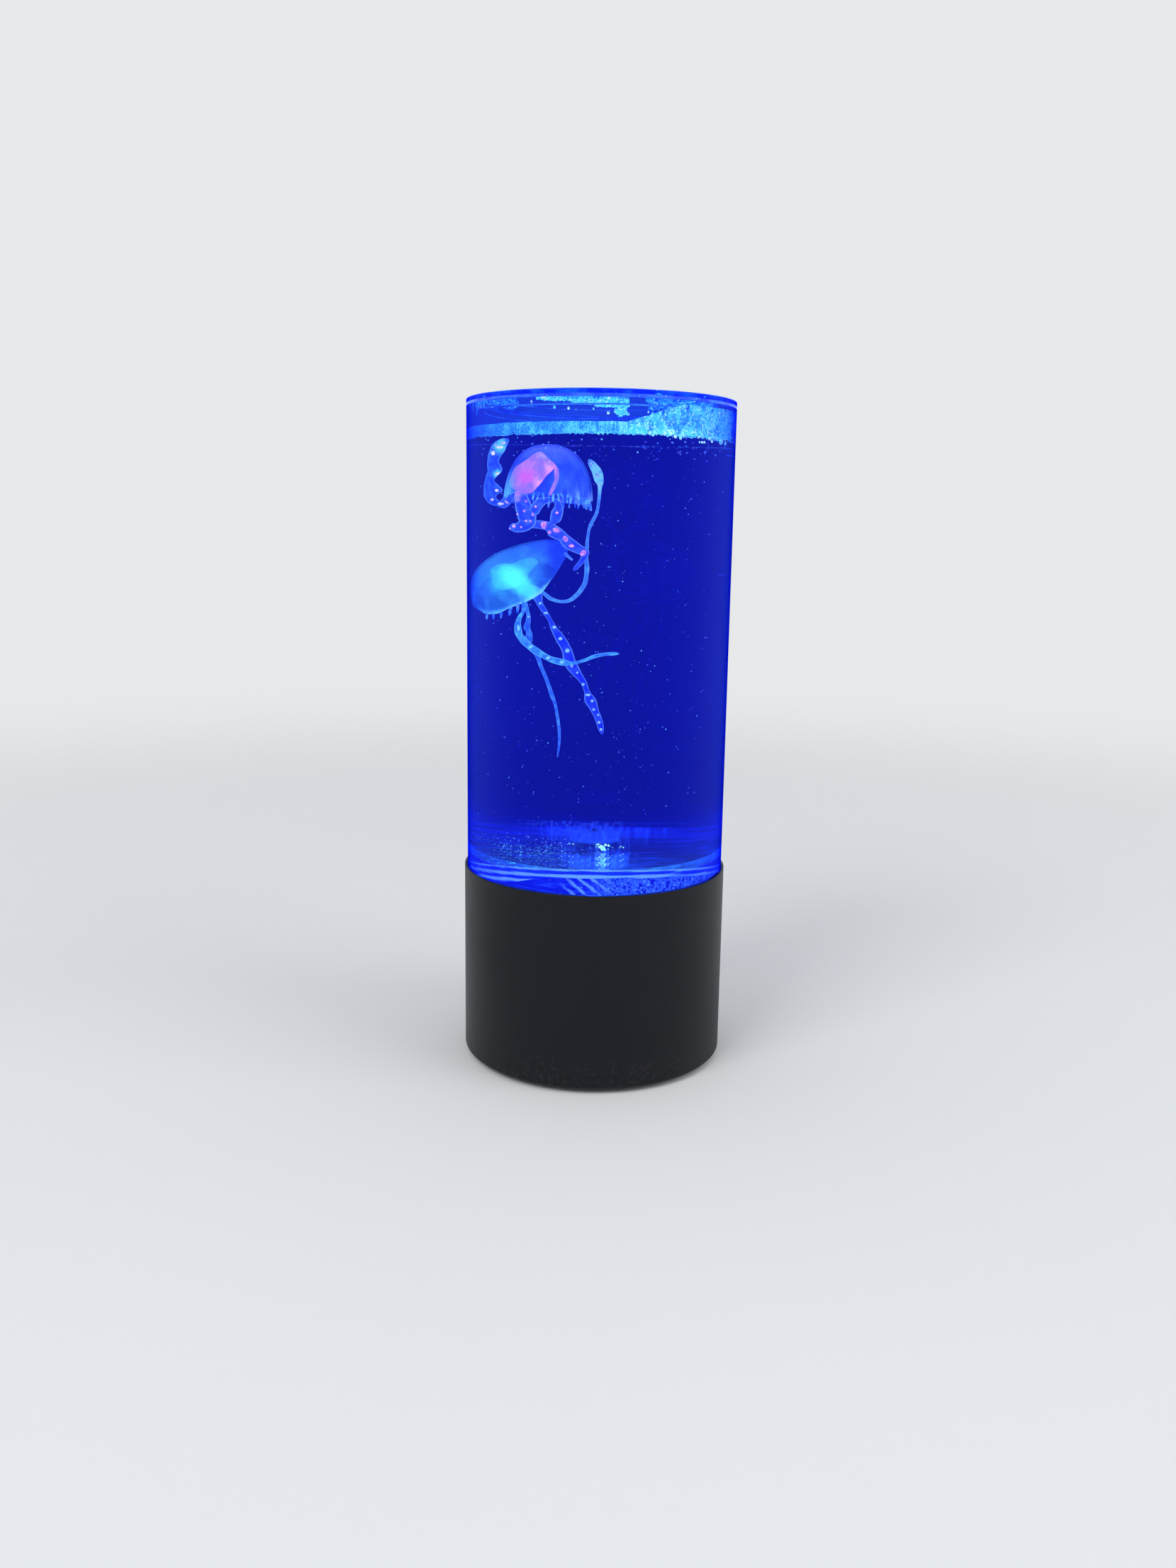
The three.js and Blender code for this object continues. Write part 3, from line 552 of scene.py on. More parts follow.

# Tank: a thick tube of clear cast acrylic that stands in the base's collar, a floor glued inside it
# and a lid with a locating ring. The blue of the lamps' light, which runs up inside the tube, is
# painted on its outer face as a tint and a glow.

BORE = 51
OUTSIDE = 55
TUBE_PROFILE = [(BORE, 73.3), (OUTSIDE, 73.3), (OUTSIDE, 274), (BORE, 274)]
FLOOR_PROFILE = [(0, 89.9), (BORE + 0.2, 89.9), (BORE + 0.2, 93.5), (0, 93.5)]
LID_PROFILE = [
    (0, 274.3), (47.5, 274.3), (47.5, 271), (50.7, 271), (50.7, 274.3), (OUTSIDE, 274.3),
    (OUTSIDE, 276.5), (0, 276.5),
]
EDGES = [(OUTSIDE, 276.5), (OUTSIDE, 274.3), (50.7, 271), (47.5, 271), (BORE, 274), (OUTSIDE, 274)]
EDGE_REACH = 0.32
EDGE_LIT = EDGE_REACH * 0.8
SKIN_FROM = 54.3
LID_SIDE = (274.5, 276.3)
LID_FACE = 276.4
SEAM_LIGHT_PROFILE = [(53.8, 273.9), (54.9, 273.9), (54.9, 274.25), (53.8, 274.25)]
ACRYLIC = 1.49
WATER = 1.333
# These tints paint the lamps' blue light on the clear acrylic: on what is seen through the tube's outer
# face, on what its coat lets through, and on its reflections.
PAINTED_COAT_TINT = (0.45, 0.55, 0.985)
PAINTED_BLUE_TINT = (0.06, 0.22, 0.93)
PAINTED_WALL_TINT = tuple(skin * tint ** 0.5 for skin, tint in zip(PAINTED_COAT_TINT, PAINTED_BLUE_TINT))
PAINTED_GLOSS_TINT = (0.12, 0.22, 1.0)
WATER_DEPTH = 30.0
PAINTED_WATER_BLUE = (0.47, 0.07, 0.74)


def glow(made, depth, ground, *layers, wall=PAINTED_WALL_TINT):
    """Paints light on a piece as a glow, so that past the blue wall and this many millimetres of
    water it is seen in the ground colour, with each layer's colour over it where its mask is 1.
    Colours go to 255."""
    ends = []
    for colour in (ground, *[colour for mask, colour in layers]):
        plain = [((c / 255 + 0.055) / 1.055) ** 2.4 for c in colour]
        left = [t * math.exp(-WATER_DEPTH * (1 - w) * depth * mm) for t, w in zip(wall, PAINTED_WATER_BLUE)]
        ends.append([p / part for p, part in zip(plain, left)])
    peak = max(max(end) for end in ends)
    made.shader.inputs["Emission Strength"].default_value = peak
    ends = [tuple(v / peak for v in end) for end in ends]
    seen = ends[0]
    for (mask, colour), end in zip(layers, ends[1:]):
        seen = mask.between(seen, end)
    made.feed(Emission_Color=seen)


def polished(made, low, high):
    """A clear surface whose tint drifts from low to high, with a few fine upright scratches."""
    scratch = made.grain(2.2, 2, (1, 1, 14)).step(0.68, 0.74) * made.grain(22, 2).step(0.5, 0.7)
    tint = made.grain(30, 3, (1, 1, 0.4)).between(low, high)
    made.feed(Base_Color=tint, Roughness=scratch * 0.06)


acrylic = Finish(
    "clear_acrylic", Roughness=0.0, IOR=ACRYLIC, Transmission_Weight=1.0, Specular_Tint=PAINTED_GLOSS_TINT)
# Painted light on the clear acrylic: a faint glow low on the wall, and short bright dashes as painted
# glints.
dashes = acrylic.grain(2.6, 1, (1, 1, 12)).step(0.66, 0.72) * acrylic.grain(30, 2).step(0.52, 0.66)
low_light = acrylic.grain(2.0, 3, (0.12, 0.12, 1)).step(0.35, 0.7)
low_light = acrylic.axis("Z").step(0.112, 0.092) * low_light
polished(acrylic, (0.92, 0.95, 1), (1, 1, 1))
glow(acrylic, 0, (0, 0, 0), (low_light, (6, 14, 96)), (dashes, (12, 24, 130)))

# The tube's outer face and the lid's rim wear the lamps' blue light as a painted tint, with a blue sheen
# that lights their edges; the lid's rim also glows with painted light, with painted glints.
lit_skins = []
for label in ("lit_acrylic", "lid_rim"):
    skin = Finish(
        label, Base_Color=PAINTED_BLUE_TINT, IOR=ACRYLIC, Transmission_Weight=1.0, Specular_Tint=PAINTED_GLOSS_TINT,
        Coat_Weight=1.0, Coat_IOR=1.0, Coat_Roughness=0.0, Coat_Tint=PAINTED_COAT_TINT,
        Sheen_Weight=0.5, Sheen_Roughness=0.1, Sheen_Tint=(0.1, 0.3, 1.0))
    polished(skin, (0.05, 0.2, 0.91), (0.07, 0.24, 0.95))
    lit_skins.append(skin)
spill, painted_glint = skin.grain(7, 4, (1, 1, 3)).step(0.42, 0.66), skin.grain(2.4, 3).step(0.62, 0.7)
glow(skin, 0, (12, 48, 150), (spill, (34, 124, 225)), (painted_glint, (80, 200, 245)), wall=(1, 1, 1))

# The polished edges of the tube and lid glow with painted light, as if they caught the light that
# runs inside them, with painted glints along them.
edge_lights = []
for label, wall in (("edge_light", (1, 1, 1)), ("ring_light", PAINTED_WALL_TINT)):
    edge_light = Finish(
        label, Base_Color=(0.02, 0.05, 0.3), Roughness=0.25, Specular_Tint=PAINTED_GLOSS_TINT)
    along = edge_light.grain(9, 3)
    glint = edge_light.grain(1.8, 2).step(0.69, 0.75)
    edges = (along.step(0.35, 0.65), (54, 116, 250)), (glint, (150, 225, 255))
    glow(edge_light, 0, (22, 48, 225), *edges, wall=wall)
    edge_light.feed(Roughness=along * 0.2 + 0.15)
    edge_lights.append(edge_light)

tube = turned("tank_wall", TUBE_PROFILE, ease=EDGE_REACH)
lid = turned("tank_top", LID_PROFILE, ease=EDGE_REACH, closed=False)
floor = turned("tank_bottom", FLOOR_PROFILE, ease=0.15, closed=False)
for piece, node, body in (
    (tube, "tank_tube", "base"), (lid, "tank_lid", "lid"), (floor, "tank_floor", "base"),
):
    wear(piece, acrylic, *lit_skins, *edge_lights)
    for face in piece.data.polygons:
        radius, height = math.hypot(*face.center[:2]) / mm, face.center.z / mm
        if radius > SKIN_FROM or height > LID_FACE:
            face.material_index = 2 if LID_SIDE[0] < height < LID_SIDE[1] else 1
        if any(math.hypot(radius - r, height - z) < EDGE_LIT for r, z in EDGES):
            face.material_index = 3 if radius > SKIN_FROM else 4
    fitted(piece, "clear_acrylic", body, node)
# A thin ring of painted light sits in the joint between the tube and the lid.
seam_light = turned("tank_rim_light", SEAM_LIGHT_PROFILE, ease=0.1)
wear(seam_light, edge_lights[0])
fitted(seam_light, "clear_acrylic", "base")

# Water: fills the tank from the floor to a level face with a small rise where it meets the wall.
# It overlaps the wall a little, so that light passes from one to the other with no air between.

WATER_PROFILE = [
    (0, 93.3), (51.2, 93.3), (51.2, 262.3), (50.7, 261.6), (49.9, 261.0), (48.6, 260.6), (46, 260.5),
    (0, 260.5),
]

# The water's blue absorption is painted light: it stands in for the lamps' blue light, and is deeper blue
# where the water is deeper.
water = Finish(
    "water", Base_Color=(1.0, 1.0, 1.0), Roughness=0.0, IOR=WATER, Transmission_Weight=1.0,
    Specular_Tint=PAINTED_GLOSS_TINT)
ripple = water.grain(9, 2, (1, 1, 0.2))
water.feed(Normal=ripple.bump(0.05, 0.25))
depth = water.tree.nodes.new("ShaderNodeVolumeAbsorption")
depth.inputs["Color"].default_value = (*PAINTED_WATER_BLUE, 1.0)
depth.inputs["Density"].default_value = WATER_DEPTH
water_end = water.tree.nodes["Material Output"]
water.tree.links.new(depth.outputs["Volume"], water_end.inputs["Volume"])
water_body = turned("water_body", WATER_PROFILE, ease=0.1, closed=False)
wear(water_body, water)
fitted(water_body, "clear_acrylic", "base")

# Floor light: the light from below is painted on the tank's floor as a glow: faint streaks towards
# the back, a fan in front of the cap, and a spray of fine bubbles at the left as painted glints.

floor_acrylic = Finish(
    "floor_acrylic", Base_Color=(0.75, 0.85, 1.0), Roughness=0.0, IOR=ACRYLIC, Transmission_Weight=1.0,
    Specular_Tint=PAINTED_GLOSS_TINT)
far = floor_acrylic.axis("Y").step(0.012, 0.046)
streak = floor_acrylic.grain(1.3, 3, (1, 0.05, 0.05)).step(0.35, 0.7)
streak = streak * floor_acrylic.near((2, 48, 92), 6, 26)
swirl = floor_acrylic.grain(9, 3, (0.3, 1, 1), 1.2).step(0.45, 0.7)
fan = floor_acrylic.grain(2.0, 3, (1, 0.12, 1)).step(0.45, 0.65)
fan = floor_acrylic.near((2, -22, 92), 3, 15, (1, 0.7, 1)) * fan
spray = floor_acrylic.cells(1.5).step(0.32, 0.14) * floor_acrylic.near((-22, -6, 92), 6, 20)
spray = spray * floor_acrylic.grain(4, 2).step(0.4, 0.6)
floor_acrylic.feed(Roughness=swirl * 0.05)
glow(
    floor_acrylic, 80, (0, 0, 0), (far * 0.2, (7, 20, 180)), (swirl * 0.4, (8, 22, 185)),
    (fan, (22, 46, 235)), (streak, (24, 60, 235)), (spray, (60, 120, 255)),
)
wear(floor, *[floor_acrylic] * 5)

# Floor joint: the bright lines of cement round the floor's edge, which sag at the sides and are
# deeper at the left, a low fillet above them, and the glue that has run down the wall under them,
# thick at the front right.

EDGE_PROFILE = [(50.8, 89.9), (51.15, 89.9), (51.15, 93.4), (50.8, 93.4)]
EDGE_MIDDLE = 92
EDGE_SAG = 9.5
LEFT_DEPTH = 3.4
LEFT_FROM = 0.3
LEFT_BLEND = 0.45
FILLET_PROFILE = [(49.6, 93.6), (51.1, 93.6), (51.1, 96.0), (50.6, 95.7)]
GLUE_PROFILE = [(49.6, 83.0), (51.1, 83.0), (51.1, 89.9), (48.2, 89.7), (48.6, 86.4), (49.6, 85.2)]


def edge_run(radius, height, turn):
    """The cement sags towards the sides, and is drawn out deeper at the left."""
    sag = EDGE_SAG * (1 - max(0.0, -math.sin(turn)))
    if height > EDGE_MIDDLE:
        return radius, height - sag
    left = min(1.0, max(0.0, (-math.cos(turn) - LEFT_FROM) / LEFT_BLEND))
    return radius, height - sag - LEFT_DEPTH * left * left * (3 - 2 * left)


# The cement's bright lines are painted light.
edge_glow = Finish("floor_edge", Base_Color=(0.1, 0.3, 0.9), Roughness=0.3)
level = edge_glow.axis("Y") * (EDGE_SAG / BORE) + edge_glow.axis("Z")
rings = edge_glow.grain(8, 3, (0.1, 0.1, 0.1)) * 0.15 + level * 900.0
rings = edge_glow.math("SINE", rings * 2.6) * 0.25 + edge_glow.grain(0.8, 3, (0.05, 0.05, 1))
glow(
    edge_glow, 0, (10, 24, 222),
    (rings.step(0.4, 0.5), (54, 104, 252)), (rings.step(0.56, 0.64), (105, 160, 255)),
)
edge_glow.feed(Roughness=rings * 0.2 + 0.2)
floor_edge = turned("floor_edge_line", EDGE_PROFILE, ease=0.05, wave=edge_run)
wear(floor_edge, edge_glow)
fitted(floor_edge, "clear_glue", "base")

# The fillet's faint lines and the comb of lines at the back are painted light.
fillet_skin = Finish("floor_fillet", Base_Color=(0.05, 0.15, 0.8), Roughness=0.3)
rings = fillet_skin.grain(1.0, 3, (0.06, 0.06, 1)).step(0.4, 0.65)
comb = fillet_skin.grain(0.9, 2, (1, 1, 0.05)).step(0.45, 0.65) * fillet_skin.near((-4, 50, 95), 6, 17)
glow(fillet_skin, 96, (7, 18, 186), (rings, (20, 44, 232)), (comb, (44, 84, 250)))
far = fillet_skin.axis("Y").step(0.006, 0.03)
fillet_skin.feed(Alpha=far * (rings * 0.16 + comb * 0.4 + 0.05))
fillet = turned("floor_fillet", FILLET_PROFILE, ease=0.3)
wear(fillet, fillet_skin)
fitted(fillet, "clear_glue", "base")

# The glue's glow is painted light: lines, a brighter speckle at the front right with darker blobs in it,
# bright bits, bright ribs at the front and painted glints.
glue = Finish("clear_glue", Base_Color=(0.05, 0.12, 0.6), IOR=ACRYLIC)
level = glue.axis("Y") * (EDGE_SAG / BORE) + glue.axis("Z")
right = glue.axis("X").step(-0.004, 0.008) * level.step(0.0825, 0.0815)
blobs = glue.grain(1.3, 2).step(0.53, 0.57)
lines = glue.grain(0.7, 2, (0.06, 0.06, 1)).step(0.5, 0.66)
slope = glue.axis("X") * 0.8 + glue.axis("Z")
ribs = glue.math("SINE", slope * 1500.0) * 0.3 + glue.grain(2.5, 2, (1, 1, 0.4))
ribs = ribs.step(0.5, 0.75) * glue.near((-3, -51, 86), 4, 12)
bits = right * glue.grain(1.0, 2).step(0.6, 0.66)
sparks = glue.grain(1.1, 1).step(0.74, 0.78)
glow(
    glue, 0, (7, 14, 196), (lines, (28, 58, 240)), (right, (44, 88, 240)),
    (right * blobs, (8, 18, 180)), (bits, (84, 150, 250)), (ribs, (84, 142, 252)),
    (sparks, (120, 215, 250)),
)
glue.feed(Normal=glue.grain(1.5, 2).bump(0.2, 0.5), Roughness=blobs * 0.3 + 0.2)
glue_ring = turned("glue_run", GLUE_PROFILE)
wear(glue_ring, glue)
fitted(glue_ring, "clear_glue", "base", "floor_glue_ring")

# Impeller and its cover: a small white rotor on a steel pin, under a fluted clear cap cemented to
# the middle of the tank's floor. Light from the lamps below catches in the cap's flutes.

CAP_FLUTES = 24
FLUTE_DEPTH = 0.02
CROWN_RADIUS = 6
DOME_PROFILE = [
    (10.3, 93.4), (11.5, 93.4), (11.3, 95.6), (10.7, 98.4), (9.4, 100.9), (6.6, 102.5), (3.4, 103.0),
    (3.2, 102.6), (3.4, 102.1), (6.4, 101.7), (8.7, 100.5), (9.7, 98.2),
]


def fluted(radius, height, turn):
    """Waves the side of the cap in and out, and leaves its crown plain."""
    depth = FLUTE_DEPTH * (radius > CROWN_RADIUS)
    return radius * (1 + depth * math.sin(CAP_FLUTES * turn)), height


# The light in the cap's flutes is painted on as a glow.
cap_clear = Finish("cap_plastic", Roughness=0.15, IOR=ACRYLIC)
around = cap_clear.math("ARCTAN2", cap_clear.axis("Y"), cap_clear.axis("X"))
flutes = cap_clear.math("SINE", around * CAP_FLUTES) * 0.5 + 0.5
lines = flutes.step(0.35, 0.95) * cap_clear.grain(4, 3).step(0.38, 0.62)
glow(cap_clear, 51, (8, 20, 180), (lines, (40, 84, 248)))
cap_clear.feed(
    Base_Color=lines.between((0.03, 0.1, 0.6), (0.2, 0.4, 1.0)),
    Alpha=lines * 0.2 + 0.05,
)
cap = turned("impeller_cap", DOME_PROFILE, 8 * CAP_FLUTES, ease=0.4, wave=fluted)
wear(cap, cap_clear)
fitted(cap, "clear_acrylic", "base", "impeller_cover")

# The white impeller is seen in the lamps' blue light, painted on as a glow.
white_plastic = Finish("white_moulding", Roughness=0.4)
tone = white_plastic.grain(3, 3)
glow(white_plastic, 51, (12, 32, 190), (tone, (38, 80, 235)))
white_plastic.feed(Base_Color=tone.between((0.1, 0.18, 0.6), (0.25, 0.35, 0.8)))
wear(nodes["impeller"], white_plastic)
wear(nodes["impeller_magnet"], nickel)
wear(nodes["impeller_pin"], zinc)

# Cap drops: small beads of air from the pump, which cling to the floor round the foot of the
# impeller's cap and catch the light that comes up through it.

CAP_DROPS = (
    ((11.7, 12.6, 94.2, 96.8, 0, 24), (0.25, 0.35, 0.5)),
    ((11.7, 13.0, 94.2, 96.6, -50, 50), (0.15, 0.25)),
)
CAP_DROP_COUNT = 16


def bead(name, sides=8, rings=4, squash=1.0):
    """A low round bead of unit radius in metres, for copies by the hundred."""
    profile = [(0, -squash)]
    for i in range(1, rings):
        turn = math.pi * i / rings
        profile.append((math.sin(turn), -squash * math.cos(turn)))
    profile.append((0, squash))
    mesh = turned_mesh(name, [(r / mm, h / mm) for r, h in profile], sides, closed=False)
    mesh.shade_smooth()
    return thing_of(name, mesh)


def scattered(name, spots, part, made):
    """Sets a copy of the part at each spot of x, y, z and size, and joins the copies in one mesh."""
    places = [spot[:3] for spot in spots]
    return on_points(name, places, part, made, sizes=[spot[3] * mm for spot in spots])


def ring_spot(dice, inner, outer, low, high, start=0.0, end=360.0):
    """A random place in part of a ring, whose turn runs from the front (0) towards the right."""
    radius = math.sqrt(dice.uniform(inner * inner, outer * outer))
    turn = math.radians(dice.uniform(start, end))
    return radius * math.sin(turn), -radius * math.cos(turn), dice.uniform(low, high)


# The drops' glow and brighter spots are painted light and painted glints.
green_glint = Finish("cap_glints", Base_Color=(0.6, 1.0, 0.9))
painted_glint = green_glint.grain(1.0, 2).step(0.35, 0.65)
glow(green_glint, 40, (90, 215, 235), (painted_glint, (190, 255, 235)))
green_glint.feed(Roughness=painted_glint * 0.1 + 0.1)
dice = random.Random(3)
cap_drops = []
for where, sizes in CAP_DROPS:
    for i in range(CAP_DROP_COUNT):
        cap_drops.append((*ring_spot(dice, *where), dice.choice(sizes)))
cap_beads = scattered("cap_glints", cap_drops, bead("drop", 10, 5), green_glint)
fitted(cap_beads, "foam", "base")

# Lid froth: patches of fine bubbles that the pump has thrown up under the lid, inside its ring,
# and a few large drops that hang among them.

LID_PATCHES = {
    "bright": [
        [(-24.5, -38), (-21, -42), (-13, -45), (-14, -33), (-17, -29), (-22, -31)],
        [(-15, -41), (-9, -34), (-6, -42), (-1, -41), (6, -35), (6.4, -8), (-1, -7), (-3.4, -13),
         (-5.2, -22), (-8, -16), (-12.4, -28)],
        [(6, -33), (9.2, -34), (10.6, 9), (10.5, 27), (8, 42), (6.8, 20)],
    ],
    "dim": [
        [(-40.8, -22), (-36, -29), (-33, -31), (-32.8, -18), (-35, -2), (-38, 13), (-40, 6)],
        [(-45, -10), (-43, -19), (-42, -20), (-43, -6), (-45, -2)],
        [(17, -32), (20, -37), (24, -39), (28, -37), (36, -30), (44, -16), (46.5, 2), (40, 8),
         (31, 6), (26, -6), (21, 6)],
    ],
}
FROTH_SIZES = (0.3, 0.42, 0.7)
FROTH_COUNT = 1.8
FROTH_REACH = 46.8
FROTH_RAG = (3, 5)
FROTH_SINK = 0.35
LID_UNDERSIDE = 274.25
DROP_GAP = 0.05
DROP_SINK = 0.3
LID_DROPS = [
    (-20.9, -42.0, 0.8), (-19.3, 1.2, 0.55), (-13.6, 5.5, 0.5), (-3.3, 5.6, 0.4), (3.1, 24.5, 0.6),
    (20.1, 17.9, 0.4), (19.6, -29.4, 0.6), (22.4, 25.1, 0.6), (26.5, -11.2, 0.5), (27.1, -37.2, 0.6),
    (42.0, -10.3, 0.7), (44.7, -9.0, 0.7), (33.3, -32.0, 0.5), (-27.0, -20.0, 0.35), (12.0, 30.0, 0.4),
]


def inside(x, y, outline):
    """Whether the point lies inside the outline: the edges to its right are crossed an odd number
    of times."""
    hit = False
    for (ax, ay), (bx, by) in zip(outline, outline[1:] + outline[:1]):
        if (ay > y) != (by > y) and x < ax + (bx - ax) * (y - ay) / (by - ay):
            hit = not hit
    return hit


def froth_finish(name, grain, dark, pale, bright, low, high):
    """Opaque froth that glows with painted light: pale patches on a dark ground, and bright bubbles
    in the patches as painted glints. Pale and bright each hold the noise at which they start and
    are full, and their glow. Low and high are the froth's own colours under a lamp."""
    made = Finish(name, Roughness=0.4)
    tone = made.grain(*grain)
    glow(made, 0, dark, (tone.step(*pale[0]), pale[1]), (tone.step(*bright[0]), bright[1]))
    made.feed(Base_Color=tone.between(low, high))
    return made


# The bright froth and the dim froth are one froth in painted light and in painted shade.
bright_froth = froth_finish(
    "bright_froth", (1.8, 3), (18, 92, 236), ((0.36, 0.5), (76, 212, 250)),
    ((0.58, 0.66), (215, 255, 255)), (0.05, 0.3, 0.9), (0.4, 0.9, 1.0))
dim_froth = froth_finish(
    "dim_froth", (2.2, 4), (16, 52, 222), ((0.4, 0.56), (46, 150, 240)),
    ((0.6, 0.68), (125, 240, 255)), (0.02, 0.1, 0.8), (0.2, 0.6, 1.0))
dice = random.Random(11)
for (label, outlines), made in zip(LID_PATCHES.items(), (bright_froth, dim_froth)):
    spots = []
    for outline in outlines:
        xs, ys = zip(*outline)
        for i in range(int(FROTH_COUNT * (max(xs) - min(xs)) * (max(ys) - min(ys)))):
            x = dice.uniform(min(xs) - 1, max(xs) + 1)
            y = dice.uniform(min(ys) - 1, max(ys) + 1)
            wide = noise.noise(Vector((x, y, 0)) * 0.35)
            size = dice.choice(FROTH_SIZES)
            ragged = x + wide * FROTH_RAG[0], y + wide * FROTH_RAG[1]
            if inside(*ragged, outline) and math.hypot(x, y) < FROTH_REACH:
                spots.append((x, y, LID_UNDERSIDE - size * FROTH_SINK, size))
    froth_patch = scattered(f"lid_froth_{label}", spots, bead("bubble", 7, 4, 0.7), made)
    fitted(froth_patch, "foam", "lid")

# The large drops glow with painted light, with painted glints.
glint_drop = Finish("bright_drops", Base_Color=(0.5, 0.9, 1.0))
painted_glint = glint_drop.grain(1.5, 2)
glow(glint_drop, 0, (90, 220, 255), (painted_glint.step(0.4, 0.6), (215, 255, 255)))
glint_drop.feed(Roughness=painted_glint * 0.1 + 0.03)
drops = [(x, y, LID_UNDERSIDE - DROP_GAP - size * DROP_SINK, size) for x, y, size in LID_DROPS]
lid_drops = scattered("lid_drops", drops, bead("drop", 12, 6, 0.6), glint_drop)
fitted(lid_drops, "clear_acrylic", "lid")

# Foam: a low ring of fine froth, whipped up by the pump, that floats against the wall. It is smooth
# on top and ragged below, and stands in from the wall at the right, where a sheet clings to it.

FOAM_PROFILE = [(49.3, 260.3), (51.0, 261.3), (51.15, 264.8), (50.3, 264.9), (49.5, 263.4)]
FOAM_SIDES = 720
FOAM_MIDDLE = 263
TOP_LUMP = 0.25
FOOT_LUMP = 0.35
FOOT_RAG = 0.7
SHEET_ROOM = 1.1

# The froth's glow is painted light: brighter bubbles and patches, bright comb lines at the right, and a
# little darker towards its left end.
froth = Finish("pale_froth", Roughness=0.6)
bubbles = froth.cells(0.5).step(0.7, 0.1)
patch = froth.grain(4, 4).step(0.35, 0.68)
comb = froth.grain(0.7, 2, (1, 1, 0.12)).step(0.4, 0.65) * froth.axis("X").step(-0.02, 0.005)
tone = bubbles * 0.4 + patch * 0.35 + comb * 0.35
end = froth.axis("X").step(-0.036, -0.046)
glow(
    froth, 0, (44, 134, 236), (tone.step(0.12, 0.5), (84, 208, 244)),
    (tone.step(0.55, 0.9), (150, 252, 255)), (end * 0.6, (42, 112, 232)),
)
froth.feed(
    Base_Color=tone.between((0.05, 0.3, 0.9), (0.35, 0.8, 1.0)),
    Normal=bubbles.bump(0.2, 0.8),
)


def foam_wave(radius, height, turn):
    """Keeps the ring off the sheet at the right, and makes its top lumpy and its foot ragged."""
    around = Vector((math.cos(turn), math.sin(turn), 0.3))
    radius -= SHEET_ROOM * min(1.0, max(0.0, (around.x - 0.25) / 0.1))
    lump = noise.noise(around * 7)
    if height > FOAM_MIDDLE:
        return radius, height + TOP_LUMP * lump
    return radius, height + FOOT_LUMP * lump + FOOT_RAG * noise.noise(around * 60)


foam = turned("foam_float", FOAM_PROFILE, FOAM_SIDES, ease=0.3, wave=foam_wave)
wear(foam, froth)
fitted(foam, "foam", "water_surface", "foam_ring")

# Clinging foam: a sheet of froth that climbs the wall at the right up to the lid, torn into slits,
# with thin walls between large cells at its far end, and round bright bubbles along its foot.
# Rows of beads hang down the wall at the left. It all turns with the foam ring it clings to.

SHEET_STEP = 0.5
SHEET_ROWS = 30
SHEET_LOW = 260.7
SHEET_RADIUS = 51.12
SHEET_TURNS = (11, 116)
SHEET_FADE = 6
SHEET_RAG = 0.5
SHEET_EDGE = 0.4
SHEET_BODY = 0.6
SHEET_LUMP = 0.4
SHEET_TOPS = [
    (11, 265.2), (15, 266.3), (18.6, 267.2), (22, 268.2), (25.7, 269.5), (28.3, 270.5), (36, 272.0),
    (116, 272.6),
]
SLITS = [
    (20.2, 264.5), (23.5, 264.3), (27.7, 265.6), (28.9, 263.7), (31.2, 267.2), (35.3, 267.4),
    (38.2, 270.7), (42.0, 267.8), (40.7, 266.2), (44.9, 265.4), (51.7, 268.1),
]
SPIKES = [
    (-79, 269.6), (-74, 270.6), (-70, 269.9), (-67, 271.6), (-64, 272.2), (-61, 272.6), (-58, 272.9),
]
SPIKE_TOP = 273.9
SPIKE_BEADS = 14
SPIKE_SIZE = 0.46
SPIKE_TAPER = 0.022
SPIKE_RADIUS = 50.95
FOOT_BUBBLES = [
    (19.9, 261.3, 0.75), (21.6, 261.2, 0.45), (26.9, 261.4, 0.95), (30.7, 262.2, 0.7), (29.2, 260.8, 0.5),
    (32.0, 260.3, 0.7), (34.3, 260.8, 0.8), (34.5, 259.8, 0.6), (42.6, 261.8, 0.7), (44.8, 262.2, 0.8),
    (44.6, 260.9, 0.6), (45.0, 258.8, 0.4), (46.6, 258.8, 0.5), (48.2, 258.9, 0.5), (51.9, 260.6, 0.8),
    (54.0, 262.4, 0.7), (61.7, 259.9, 1.2), (65.6, 259.3, 0.8), (53.5, 259.5, 0.6), (57.0, 261.0, 0.6),
]
FOOT_REACH = 51.45
FINE_BUBBLES = (
    (150, (51.0, 51.1, 260.2, 262.9, 17, 104), (0.15, 0.4)),
    (60, (51.05, 51.12, 263, 271, 26, 100), (0.14, 0.3)),
)


def reading(table, at):
    """The height that a table of turn and height gives at this turn."""
    for (a, low), (b, high) in zip(table, table[1:]):
        if at <= b:
            return low + (high - low) * (at - a) / (b - a)
    return table[-1][1]


def on_wall(radius, turn, height=0.0):
    """The place at this radius and height, with its turn in degrees from the front to the right."""
    side = math.radians(turn)
    return Vector((radius * math.sin(side), -radius * math.cos(side), height))


# The sheet's glow is painted light: pale clouds, bright cell walls and bubbles, painted glints, darker
# patches, and dark painted shade in the slits, which are also partly clear.
web = Finish("foam_web", Roughness=0.5)
fine = web.cells(0.45).step(0.6, 0.15)
cloud = web.grain(3.2, 4)
balls = web.cells(1.1).step(0.45, 0.25) * web.grain(2.6, 2).step(0.46, 0.56)
rings = web.cells(1.5, "DISTANCE_TO_EDGE").step(0.16, 0.04) * web.grain(3.4, 2).step(0.5, 0.62)
deep = web.grain(1.8, 3, (1, 1, 0.6)).step(0.44, 0.36)
slits = 0.0
for turn, height in SLITS:
    slits = web.near(on_wall(SHEET_RADIUS, turn, height), 0.6, 1.0, (1, 1, 0.5)) + slits
end_turn = web.math("ARCTAN2", web.axis("X"), web.axis("Y") * -1.0).step(1.18, 1.3)
